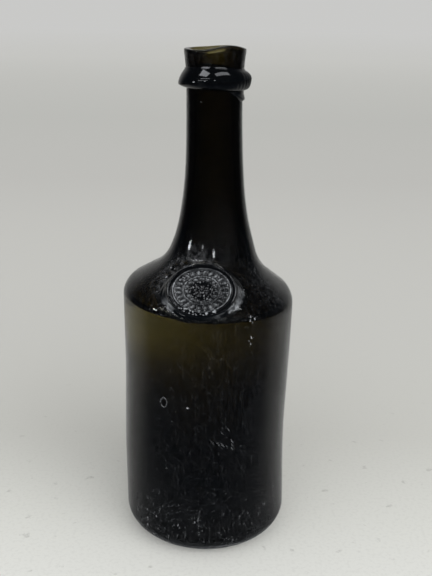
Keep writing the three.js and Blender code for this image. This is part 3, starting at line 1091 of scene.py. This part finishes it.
# %% Rim
RIM_RADIUS = 18.9
RIM_BELOW_LIP = 9.9
RIM_DEPTH = 9.6
RIM_CREST_DEPTH = 6.2
RIM_UNDERCUT = 0.4
RIM_BELLY = 0.65
RIM_BELLY_RISE = 0.6
RIM_BROW = 0.5
RIM_BROW_RISE = 0.75
RIM_CREST_RISE = 0.35
RIM_TILT = 0.55
RIM_CREST_SHIFT = 1.7
RIM_FRONT_RISE = 2.3
RIM_RISE_BEARING = math.radians(-90)
RIM_RISE_TIGHTNESS = 2.0
RIM_SEAT = 0.9
RIM_TURNS = 288
RIM_FOLD = 0.22
RIM_FOLDS = 46
RIM_FOLD_BEARING = math.radians(-24)
RIM_FOLD_TIGHTNESS = 14.0
RIM_TOP = LIP_HEIGHT - RIM_BELOW_LIP
RIM_CREST = RIM_TOP - RIM_CREST_DEPTH
RIM_UNDERSIDE = RIM_TOP - RIM_DEPTH
RIM_LUMP = 0.35
RIM_LUMPS = 1.9
RIM_LUMP_LENGTH = 18.0
RIM_LEDGE = 0.9
RIM_LEDGE_DROP = 0.25


def rim_section():
    overhang = RIM_RADIUS - NECK_RADIUS
    rise = RIM_TOP - RIM_CREST
    lower = curve(
        (NECK_RADIUS, RIM_UNDERSIDE),
        (NECK_RADIUS + RIM_BELLY * overhang, RIM_UNDERSIDE - RIM_UNDERCUT),
        (RIM_RADIUS, RIM_CREST - RIM_BELLY_RISE * (RIM_CREST - RIM_UNDERSIDE)),
        (RIM_RADIUS, RIM_CREST),
        steps=16,
    )
    upper = curve(
        (RIM_RADIUS, RIM_CREST),
        (RIM_RADIUS, RIM_CREST + RIM_CREST_RISE * rise),
        (NECK_RADIUS + RIM_BROW * overhang, RIM_CREST + RIM_BROW_RISE * rise),
        (NECK_RADIUS, RIM_TOP),
        steps=20,
    )
    upper = [point for point in upper if point[0] > NECK_RADIUS + RIM_LEDGE]
    ledge = [Vector((NECK_RADIUS + RIM_LEDGE, RIM_TOP - RIM_LEDGE_DROP)), Vector((NECK_RADIUS, RIM_TOP))]
    seat = NECK_RADIUS - RIM_SEAT
    return joined([Vector((seat, RIM_UNDERSIDE))], lower, upper, ledge, [Vector((seat, RIM_TOP))])


def rim_wave(point, _ring):
    """Tilts the trail, shears its crest, leaves it uneven and creases it where its end closed over it."""
    bearing = math.atan2(point.y, point.x)
    radius = math.hypot(point.x, point.y)
    proud = share_of(radius, NECK_RADIUS, RIM_RADIUS)
    raised = share_of(point.z, RIM_UNDERSIDE, RIM_TOP)
    lump = noise.noise(polar(1.0, bearing, point.z / RIM_LUMP_LENGTH) * RIM_LUMPS)
    folds = math.sin(bearing * RIM_FOLDS) * swell(bearing, RIM_FOLD_BEARING, RIM_FOLD_TIGHTNESS)
    radius += (lump * RIM_LUMP + folds * RIM_FOLD) * proud
    shifted = proud * smoothstep(point.z, RIM_UNDERSIDE, RIM_CREST)
    rise = (RIM_CREST_SHIFT * shifted - RIM_TILT) * math.cos(bearing)
    rise += RIM_FRONT_RISE * raised * swell(bearing, RIM_RISE_BEARING, RIM_RISE_TIGHTNESS)
    return polar(radius, bearing, point.z + rise)


rim_shape = turned(rim_section(), RIM_TURNS, rim_wave, closed=True)
print("rim corners:", len(rim_shape.verts))

# %% [markdown]
# ## The tail of the trail
# Where the trail closed, its end was smeared down the neck on the right. It
# could be sculpted into the rim, but as a flap of its own it can hang by one
# formula: it grows towards its tip, and then runs out. Its upper edge hides in
# the rim and its back in the neck, so both read as one piece of glass.

# %% Tail and rim glass
TAIL_START = math.radians(-72)
TAIL_END = math.radians(36)
TAIL_TIP = math.radians(2)
TAIL_DROP = 6.6
TAIL_LEAST_DROP = 0.05
TAIL_GROWTH = (-0.05, 0.75)
TAIL_RUN_OUT = 0.5
TAIL_THICKNESS = 1.15
TAIL_THIN_SHARE = 0.45
TAIL_THICKENING = (0.45, 0.85)
TAIL_LIP = (0.86, 1.0)
TAIL_TUCK = 0.1
TAIL_SEAT = 0.54
TAIL_OVERLAP = 1.2
TAIL_STEPS = 60
TAIL_ROWS = 14
RIM_CLOUD = (150.0, 6.0)
RIM_BLOOM_STEP = (0.5, 0.75)
RIM_BLOOM = 0.02
RIM_ROUGHNESS = 0.07
RIM_BLOOM_ROUGHNESS = 0.4
RIM_BUMP = (0.15, 0.0003)


def tail_edge(bearing):
    """How far the tail hangs below the rim at a bearing."""
    if bearing < TAIL_TIP:
        share = (bearing - TAIL_START) / (TAIL_TIP - TAIL_START)
        return TAIL_DROP * smoothstep(share, *TAIL_GROWTH)
    share = (TAIL_END - bearing) / (TAIL_END - TAIL_TIP)
    return TAIL_DROP * max(share, 0.0) ** TAIL_RUN_OUT


def tail_row(bearing, inside):
    """The flap's front or its back at one bearing, from the rim down."""
    drop = max(tail_edge(bearing), TAIL_LEAST_DROP)
    corners = []
    for j in range(TAIL_ROWS + 1):
        share = j / TAIL_ROWS
        full = 1 - smoothstep(share, *TAIL_LIP)
        bulge = at_least(TAIL_THIN_SHARE, smoothstep(share, *TAIL_THICKENING))
        height = -TAIL_SEAT if inside else TAIL_THICKNESS * bulge * full - TAIL_TUCK * (1 - full)
        level = RIM_UNDERSIDE + TAIL_OVERLAP - (drop + TAIL_OVERLAP) * share
        corners.append(polar(NECK_RADIUS + height, bearing, level))
    return corners


def add_tail(shape):
    """The end of the trail, smeared down the neck, with a thick rounded lower edge."""
    columns = []
    for i in range(TAIL_STEPS + 1):
        bearing = TAIL_START + (TAIL_END - TAIL_START) * i / TAIL_STEPS
        outline = tail_row(bearing, False) + tail_row(bearing, True)[::-1]
        columns.append([shape.verts.new(corner) for corner in outline])
    for before, after in zip(columns, columns[1:]):
        for j in range(len(before)):
            k = (j + 1) % len(before)
            shape.faces.new((before[j], before[k], after[k], after[j]))
    shape.faces.new(columns[0])
    shape.faces.new(columns[-1][::-1])
    bmesh.ops.recalc_face_normals(shape, faces=shape.faces)


def rim_glass():
    material, tree = new_material("rim_glass")
    cloud = noise_at(own_place(tree), *RIM_CLOUD)
    silvered = cloud.step(*RIM_BLOOM_STEP) * RIM_BLOOM
    roughness = RIM_ROUGHNESS + RIM_BLOOM_ROUGHNESS * silvered
    finish_black(tree, mixed(silvered, BLACK, SILVER), roughness, bumped(cloud, *RIM_BUMP))
    return material


add_tail(rim_shape)
rim = piece_from(rim_shape, "rim", "string_rim", rim_glass())

# %% [markdown]
# ## The stamp of the shoulder seal
# A gob of glass was dropped on the hot shoulder and pressed with an oval stamp,
# which left a beaded edge and a low relief. The relief could be a bump map, but
# it shows in the outline, so here it is real height, given by a formula for a
# round stamp that is made oval later. The same formula says where the relief is
# worn silvery, with a painted sheen: most on what stands proud.

# %% Seal relief
SEAL_HALF_WIDTH = 18.2
SEAL_HALF_HEIGHT = 14.9
LEDGE_WIDTH = 0.7
LEDGE_HEIGHT = 0.25
GROOVE_WIDTH = 1.5
GROOVE_DEPTH = 0.5
BEAD_WIDTH = 1.1
BEAD_HEIGHT = 0.7
BAR_COUNT = 24
BAR_LENGTH = 2.5
BAR_WIDTH = 1.15
BAR_HEIGHT = 0.5
BAR_MARGIN = 0.5
RIDGE_WIDTH = 0.7
RIDGE_HEIGHT = 0.4
PEARL_COUNT = 15
PEARL_RADIUS = 0.85
PETAL_COUNT = 8
PETAL_LENGTH = 2.5
PETAL_WIDTH = 1.4
PETAL_HEIGHT = 0.3
ROSETTE_BUTTON = 0.9
LEDGE_MIDDLE = SEAL_HALF_HEIGHT - LEDGE_WIDTH / 2
GROOVE_MIDDLE = SEAL_HALF_HEIGHT - LEDGE_WIDTH - GROOVE_WIDTH / 2
BEAD_MIDDLE = GROOVE_MIDDLE - (GROOVE_WIDTH + BEAD_WIDTH) / 2
FIELD_RADIUS = BEAD_MIDDLE - BEAD_WIDTH / 2
BAR_MIDDLE = FIELD_RADIUS - BAR_MARGIN - BAR_LENGTH / 2
RIDGE_RADIUS = BAR_MIDDLE - BAR_LENGTH / 2 - BAR_MARGIN - RIDGE_WIDTH / 2
PEARL_CIRCLE = RIDGE_RADIUS - RIDGE_WIDTH - PEARL_RADIUS
PETAL_MIDDLE = ROSETTE_BUTTON / 2 + PETAL_LENGTH / 2
# count, circle, length, width and height
MOTIFS = (
    (BAR_COUNT, BAR_MIDDLE, BAR_LENGTH, BAR_WIDTH, BAR_HEIGHT),
    (PEARL_COUNT, PEARL_CIRCLE, 2 * PEARL_RADIUS, 2 * PEARL_RADIUS, PEARL_RADIUS),
    (PETAL_COUNT, PETAL_MIDDLE, PETAL_LENGTH, PETAL_WIDTH, PETAL_HEIGHT),
)


def dome(distance, reach, height):
    """A rounded bump of a given reach and height, 0 outside it."""
    share = distance / reach
    return height * math.sqrt(1 - share * share) if share < 1 else 0.0


def motif(radius, turn, count, circle, length, width, height):
    """A ring of equal raised ovals, each pointing to the middle."""
    step = 2 * math.pi / count
    off = (turn + step / 2) % step - step / 2
    along = (radius * math.cos(off) - circle) / (length / 2)
    across = radius * math.sin(off) / (width / 2)
    return dome(math.hypot(along, across), 1.0, height)


def relief(radius, turn):
    """The stamped height at a radius and bearing on the pad, before it is made oval."""
    height = dome(abs(radius - LEDGE_MIDDLE), LEDGE_WIDTH / 2, LEDGE_HEIGHT)
    height -= dome(abs(radius - GROOVE_MIDDLE), GROOVE_WIDTH / 2, GROOVE_DEPTH)
    height += dome(abs(radius - BEAD_MIDDLE), BEAD_WIDTH / 2, BEAD_HEIGHT)
    height += dome(abs(radius - RIDGE_RADIUS), RIDGE_WIDTH / 2, RIDGE_HEIGHT)
    height += sum(motif(radius, turn, *sizes) for sizes in MOTIFS)
    return max(height, dome(radius, ROSETTE_BUTTON, ROSETTE_BUTTON))


print("height of a bar and of a pearl:", relief(BAR_MIDDLE, 0.0), round(relief(PEARL_CIRCLE, 0.0), 2))

# %% [markdown]
# ## Wear and painted highlights on the seal
# The stamped field is rubbed grey on what stands proud, with a painted sheen, its
# bead carries a painted highlight, its lower edge was knocked, and the pooled
# glass has painted highlights at lower right and lower left and a frosty patch at
# upper left. A mask could be painted, but each of these follows a radius and a
# bearing, so four short formulas give it. The mesh carries it as an attribute.

# %% Seal wear
# a slice is the third coordinate at which the noise is read
CHIP_RADIUS = BEAD_MIDDLE + 0.3
CHIP_REACH = 1.6
CHIP_BRIGHTNESS = 1.7
CHIP_SIDE = (0.65, 0.85)
CHIPS_PER_MM = 1.3
CHIP_STEP = (0.2, 0.34)
CHIP_SLICE = 6.0
# a painted highlight along the bead
BEAD_HIGHLIGHT_WIDTH = 0.33
BEAD_HIGHLIGHT_LEVELS = (0.4, 1.1)
BEAD_HIGHLIGHT_CIRCLE = 4.0
BEAD_HIGHLIGHT_SLICE = 2.0
BEAD_HIGHLIGHT_STEP = (-0.4, 0.3)
FIELD_EDGE = (FIELD_RADIUS - 0.2, FIELD_RADIUS + 0.3)
PROUD_STEP = (0.05, 0.4)
MIDDLE_STEP = (PEARL_CIRCLE - PEARL_RADIUS - 1.0, PEARL_CIRCLE + 0.5)
MIDDLE_LEAST = 0.04
FLAT_LEAST = 0.16
PATCHY_LEAST = 0.3
PATCHY_STEP = (-0.45, 0.25)
SILVER_SLICE = 3.0
SILVER_PATCHES = 0.16
SILVER_BLOTS = 0.6
SILVER_BLOT_SHARE = 0.4
SILVER_GRAIN = 1.5
SILVER_GRAIN_LEVELS = (0.75, 0.9)
# painted highlights on the pool at lower right and lower left, and a frosty patch at upper left
# level, bearing and tightness
POOL_HIGHLIGHTS_AND_FROST = (
    (1.7, math.radians(-29), 15.0),
    (0.5, math.radians(14), 40.0),
    (0.8, math.radians(-144), 40.0),
    (0.5, math.radians(122), 9.0),
)
POOL_SPOT_MIDDLE = 0.4
POOL_SPOT_REACH = 0.5
POOL_SPOT_CIRCLE = 5.0
POOL_SPOT_SLICE = 2.0
POOL_SPOT_STEP = (-0.4, 0.25)


def chipped(radius, turn):
    """Small bright flakes on the lower edge of the pad, where it was knocked."""
    edge = dome(abs(radius - CHIP_RADIUS), CHIP_REACH, 1.0)
    lower = smoothstep(-math.sin(turn), *CHIP_SIDE)
    spot = polar(radius, turn, CHIP_SLICE) * CHIPS_PER_MM
    return CHIP_BRIGHTNESS * edge * lower * smoothstep(noise.noise(spot), *CHIP_STEP)


def painted_bead_highlight(radius, turn):
    """A painted highlight along the bead, clearest at the sides of the pad, where it would mirror the
    windows.
    """
    highlight_line = dome(abs(radius - BEAD_MIDDLE), BEAD_HIGHLIGHT_WIDTH, 1.0)
    patchy = smoothstep(noise.noise(polar(BEAD_HIGHLIGHT_CIRCLE, turn, BEAD_HIGHLIGHT_SLICE)), *BEAD_HIGHLIGHT_STEP)
    return highlight_line * (BEAD_HIGHLIGHT_LEVELS[0] + BEAD_HIGHLIGHT_LEVELS[1] * math.cos(turn) ** 4) * at_least(PATCHY_LEAST, patchy)


# scuffed grey with a painted sheen on the stamped field, most on what stands proud
def wear_and_sheen(radius, turn, height):
    """How grey the stamped field is, scuffed and with a painted sheen: most on what stands proud, least in
    the middle. The bead's painted highlight and the knocked edge join it.
    """
    field = 1 - smoothstep(radius, *FIELD_EDGE)
    proud = at_least(FLAT_LEAST, smoothstep(height, *PROUD_STEP))
    middle = at_least(MIDDLE_LEAST, smoothstep(radius, *MIDDLE_STEP))
    spot = polar(radius, turn, SILVER_SLICE)
    blots = noise.noise(spot * SILVER_PATCHES) + SILVER_BLOT_SHARE * noise.noise(spot * SILVER_BLOTS)
    patchy = at_least(PATCHY_LEAST, smoothstep(blots, *PATCHY_STEP))
    grainy = SILVER_GRAIN_LEVELS[0] + SILVER_GRAIN_LEVELS[1] * noise.noise(spot * SILVER_GRAIN)
    return max(field * middle * proud * patchy * grainy, painted_bead_highlight(radius, turn), chipped(radius, turn))


def pool_highlights_and_frost(turn, share):
    """Patches where the pool stands proud: painted highlights at lower right and lower left, where it would
    mirror the windows, and a frosty patch at upper left.
    """
    total = sum(level * swell(turn, centre, tightness) for level, centre, tightness in POOL_HIGHLIGHTS_AND_FROST)
    patchy = smoothstep(noise.noise(polar(POOL_SPOT_CIRCLE, turn, share * POOL_SPOT_SLICE)), *POOL_SPOT_STEP)
    return total * dome(abs(share - POOL_SPOT_MIDDLE), POOL_SPOT_REACH, 1.0) * patchy


print("frosty patches on the pool:", len(POOL_HIGHLIGHTS_AND_FROST))

# %% [markdown]
# ## Where the seal sits
# The stamp leans on the shoulder, so the seal is shaped flat and then placed by
# one matrix. What lies under it could be worked out from the section, but rays
# cast down on a coarse copy of the vessel find it for any point of the pad.

# %% Seal place
SEAL_BEARING = math.radians(-6.5)
SEAL_INSET = 9.9
SEAL_STANDOFF = 2.8
SEAL_ELEVATION = math.radians(42.4)
RAY_SIDES = 96
RAY_START = 20.0
RAY_MISSED = -12.0

seal_radius = UPPER_RADIUS - SEAL_INSET
seal_level = level_of(outside_section()[3], seal_radius) + SEAL_STANDOFF
SEAL_PLACE = (
    Matrix.Rotation(SEAL_BEARING, 4, "Z")
    @ Matrix.Translation((0.0, -seal_radius, seal_level))
    @ Matrix.Rotation(math.pi / 2 - SEAL_ELEVATION, 4, "X")
)
SEAL_OUT = (SEAL_PLACE.to_3x3() @ Vector((0.0, 0.0, 1.0))).normalized()


def vessel_tree():
    """The outside of the vessel in its true form, for rays to find."""
    shape = turned(joined(*outside_section()[1:]), RAY_SIDES)
    tree = BVHTree.FromBMesh(shape)
    shape.free()
    return tree


VESSEL_TREE = vessel_tree()


def ground(spot):
    """The height of the vessel under a point of the pad."""
    hit = VESSEL_TREE.ray_cast(SEAL_PLACE @ Vector((spot.x, spot.y, RAY_START)), -SEAL_OUT)
    return RAY_START - hit[3] if hit[0] else RAY_MISSED


print("seal's middle in mm:", [round(value, 1) for value in SEAL_PLACE.translation])
print("glass under the middle of the pad:", round(-ground(Vector((0.0, 0.0, 0.0))), 1), "mm down")

# %% [markdown]
# ## The pad and its pool
# The glass that the stamp pushed out pools round the pad and runs into the
# shoulder. It could be a skirt of fixed depth, but the shoulder curves away
# differently on every side, so the pool ends where the rays say. Its surface
# falls steeply at first and then runs out, with faint ripples.

# %% Pad and pool
SEAL_EDGE_DROP = 0.6
SEAL_EDGE_WIDTH = 0.5
SEAL_OVAL = SEAL_HALF_WIDTH / SEAL_HALF_HEIGHT
PAD_LEAST_DEPTH = 0.5
PAD_ROUGHNESS = 0.10
PAD_ROUGHNESS_NOISE = 0.9
PAD_SWELL = 0.2
PAD_SWELL_NOISE = 0.12
PAD_SLICE = 4.0
POOL_SINK = 0.35
POOL_DEPTH = 0.4
POOL_MARGIN = 2.7
POOL_SIDE_MARGIN = 2.2
POOL_SPREAD = 1.3
POOL_FALL = 2.4
# tightness of the noise, and its share
MARGIN_WAVES = (1.7, 0.25)
MARGIN_RIPPLES = (3.1, 0.1)
MARGIN_SLICE = 0.3
POOL_RIPPLE = 0.16
POOL_RIPPLE_LENGTH = 1.7
POOL_SWIRL = 3.0
POOL_SWIRL_NOISE = 0.12
POOL_SLICE = 9.0


def oval_spot(radius, turn, height):
    return Vector((SEAL_OVAL * radius * math.cos(turn), radius * math.sin(turn), height))


def pad_corner(radius, turn):
    """Where the pad's top and underside are, and how grey it is, by scuffing, painted sheen and painted
    highlights.
    """
    stamped = relief(radius, turn)
    spot = oval_spot(radius, turn, PAD_SLICE)
    field = 1 - smoothstep(radius, FIELD_RADIUS - SEAL_EDGE_WIDTH, FIELD_RADIUS)
    edge = smoothstep(radius, SEAL_HALF_HEIGHT - SEAL_EDGE_WIDTH, SEAL_HALF_HEIGHT)
    height = stamped + PAD_ROUGHNESS * noise.noise(spot * PAD_ROUGHNESS_NOISE) * field
    height += PAD_SWELL * noise.noise(spot * PAD_SWELL_NOISE) - SEAL_EDGE_DROP * edge
    low = min(ground(spot) - POOL_SINK, height - PAD_LEAST_DEPTH)
    return oval_spot(radius, turn, height), oval_spot(radius, turn, low), wear_and_sheen(radius, turn, stamped)


def pool_margin(turn):
    """How far the pool spreads, in the pad's own round measure."""
    spot = polar(1.0, turn, MARGIN_SLICE) * MARGIN_WAVES[0]
    waves = MARGIN_WAVES[1] * noise.noise(spot) + MARGIN_RIPPLES[1] * noise.noise(spot * MARGIN_RIPPLES[0])
    return (POOL_MARGIN + POOL_SIDE_MARGIN * math.cos(turn) ** 2) * (1 + waves)


def pool_corner(share, turn):
    """The same for the pool, from the pad's edge at share 0 to its own at 1, which has no underside."""
    radius = SEAL_HALF_HEIGHT + pool_margin(turn) * share ** POOL_SPREAD
    spot = oval_spot(radius, turn, POOL_SLICE)
    floor = ground(spot)
    sunk = floor - POOL_SINK * share
    fall = (1 - share) ** POOL_FALL
    swirl = POOL_SWIRL * noise.noise(spot * POOL_SWIRL_NOISE)
    ripple = math.sin(2 * math.pi * radius / POOL_RIPPLE_LENGTH + swirl)
    height = sunk * (1 - fall) - SEAL_EDGE_DROP * fall + POOL_RIPPLE * ripple * share * (1 - share) * 4
    low = oval_spot(radius, turn, floor - POOL_SINK - POOL_DEPTH) if share < 1 else None
    return oval_spot(radius, turn, max(height, sunk)), low, pool_highlights_and_frost(turn, share)


print("the pool spreads in mm:", [round(pool_margin(turn), 1) for turn in (0.0, math.pi / 2, math.pi)])

# %% [markdown]
# ## The mesh of the seal
# A subdivided plane would waste faces at its corners. Rings of corners suit an
# oval: one set for the top, from the middle of the pad to the pool's edge, and
# one for the underside, which ends in the same last ring.

# %% Seal mesh
SEAL_TURNS = 288
SEAL_PAIRS = [(k, (k + 1) % SEAL_TURNS) for k in range(SEAL_TURNS)]
PAD_RINGS = 96
POOL_RINGS = 18


def cover(shape, rings, flip):
    """Faces between rings of corners, closed in the middle."""
    middle = shape.verts.new(sum((corner.co for corner in rings[0]), Vector()) / SEAL_TURNS)
    faces = [[middle, rings[0][k], rings[0][m]] for k, m in SEAL_PAIRS]
    for inner, outer in zip(rings, rings[1:]):
        faces += [[inner[k], outer[k], outer[m], inner[m]] for k, m in SEAL_PAIRS]
    for face in faces:
        shape.faces.new(face[::-1] if flip else face)


def build_seal():
    turns = [2 * math.pi * k / SEAL_TURNS for k in range(SEAL_TURNS)]
    radii = [SEAL_HALF_HEIGHT * (i + 0.5) / PAD_RINGS for i in range(PAD_RINGS)]
    shares = [j / POOL_RINGS for j in range(1, POOL_RINGS + 1)]
    grid = [[pad_corner(radius, turn) for turn in turns] for radius in radii]
    grid += [[pool_corner(share, turn) for turn in turns] for share in shares]
    shape = bmesh.new()
    worn = shape.verts.layers.float.new("worn")
    tops = []
    bottoms = []
    for ring in grid:
        top = []
        bottom = []
        for high, low, wear_and_shine in ring:
            corner = shape.verts.new(SEAL_PLACE @ high)
            corner[worn] = wear_and_shine
            top.append(corner)
            if low is not None:
                bottom.append(shape.verts.new(SEAL_PLACE @ low))
        tops.append(top)
        bottoms.append(bottom or top)
    cover(shape, tops, flip=False)
    cover(shape, bottoms, flip=True)
    bmesh.ops.recalc_face_normals(shape, faces=shape.faces)
    return shape


seal_shape = build_seal()
print("seal corners:", len(seal_shape.verts))

# %% [markdown]
# ## The seal's finish
# It is the black glass again, with the mask from the mesh as its silvery bloom,
# which holds wear, a painted sheen and painted highlights.
# The mask alone would be smooth, so fine noise breaks it into grains, as the
# stamp's own rough face did.

# %% Seal glass
SEAL_IOR = 1.45
SEAL_GRAIN = (900.0, 4.0)
SEAL_GRAIN_STEP = (0.2, 0.55)
SEAL_SILVER_LEVEL = 0.6
SEAL_ROUGHNESS = 0.08
SEAL_SILVER_ROUGHNESS = 0.3
SEAL_BUMP = (0.12, 0.0002)


def seal_glass():
    material, tree = new_material("seal_glass")
    settings = {"attribute_name": "worn", "attribute_type": "GEOMETRY"}
    worn = Wire.node(tree, "ShaderNodeAttribute", settings, output="Fac")
    grain = noise_at(own_place(tree), *SEAL_GRAIN)
    # the mask holds wear, a painted sheen and painted highlights
    silvered = worn * grain.step(*SEAL_GRAIN_STEP)
    colour = mixed(silvered * SEAL_SILVER_LEVEL, BLACK, SILVER)
    roughness = SEAL_ROUGHNESS + SEAL_SILVER_ROUGHNESS * silvered
    finish_black(tree, colour, roughness, bumped(grain, *SEAL_BUMP), SEAL_IOR)
    return material


seal = piece_from(seal_shape, "seal", "shoulder_seal", seal_glass())

# %% [markdown]
# ## The pontil scar
# The rod that held the hot bottle was snapped off its underside, and left a
# broken ring of glass in the kick-up. It is a turned ring again, with noise that
# breaks its edge.

# %% Scar
SCAR_RADIUS = 11.0
SCAR_WIDTH = 3.2
SCAR_HEIGHT = 1.5
SCAR_FULLNESS = 1.3
SCAR_TURNS = 120
SCAR_STEPS = 14
SCAR_SEAT = 1.0
SCAR_LEVEL = level_of(outside_section()[0], SCAR_RADIUS)
# noise per millimetre, and depth
SCAR_JAGS = ((0.9, 0.5), (2.6, 0.25))
SCAR_JAG_SHARES = (0.5, 0.4, 0.3)
SCAR_KEPT = (0.62, 0.38)
SCAR_GAPS = 2.3
SCAR_DARK = (0.012, 0.012, 0.007, 1.0)
SCAR_PALE = (0.07, 0.07, 0.06, 1.0)
SCAR_IOR = 1.5
SCAR_GRAIN = (700.0, 5.0)
SCAR_GRAIN_STEP = (0.4, 0.7)
SCAR_ROUGHNESS = 0.25
SCAR_GRAIN_ROUGHNESS = 0.4
SCAR_BUMP = (0.6, 0.0004)


def scar_section():
    inner = SCAR_RADIUS - SCAR_WIDTH / 2
    outer = SCAR_RADIUS + SCAR_WIDTH / 2
    low = SCAR_LEVEL - SCAR_HEIGHT * SCAR_FULLNESS
    top = SCAR_LEVEL + SCAR_SEAT
    lower = curve((inner, SCAR_LEVEL), (inner, low), (outer, low), (outer, SCAR_LEVEL), SCAR_STEPS)
    return lower + [Vector((outer, top)), Vector((inner, top))]


def broken(point, _ring):
    """Breaks the ring: it is jagged, and missing a stretch of its height here and there."""
    jag = sum(depth * noise.noise(point * tightness) for tightness, depth in SCAR_JAGS)
    gaps = noise.noise(polar(1.0, math.atan2(point.y, point.x), 0.0) * SCAR_GAPS)
    kept = SCAR_KEPT[0] + SCAR_KEPT[1] * gaps
    across, along, up = (jag * share for share in SCAR_JAG_SHARES)
    hang = SCAR_LEVEL - point.z
    lift = hang * (1 - kept) + up if hang > 0 else 0.0
    return point + Vector((across, along, lift))


def scar_glass():
    material, tree = new_material("scar_glass")
    grain = noise_at(own_place(tree), *SCAR_GRAIN)
    colour = mixed(grain.step(*SCAR_GRAIN_STEP), SCAR_DARK, SCAR_PALE)
    roughness = SCAR_ROUGHNESS + SCAR_GRAIN_ROUGHNESS * grain
    finish_black(tree, colour, roughness, bumped(grain, *SCAR_BUMP), SCAR_IOR)
    return material


scar_shape = turned(scar_section(), SCAR_TURNS, broken, closed=True)
scar = piece_from(scar_shape, "scar", "pontil_scar", scar_glass())
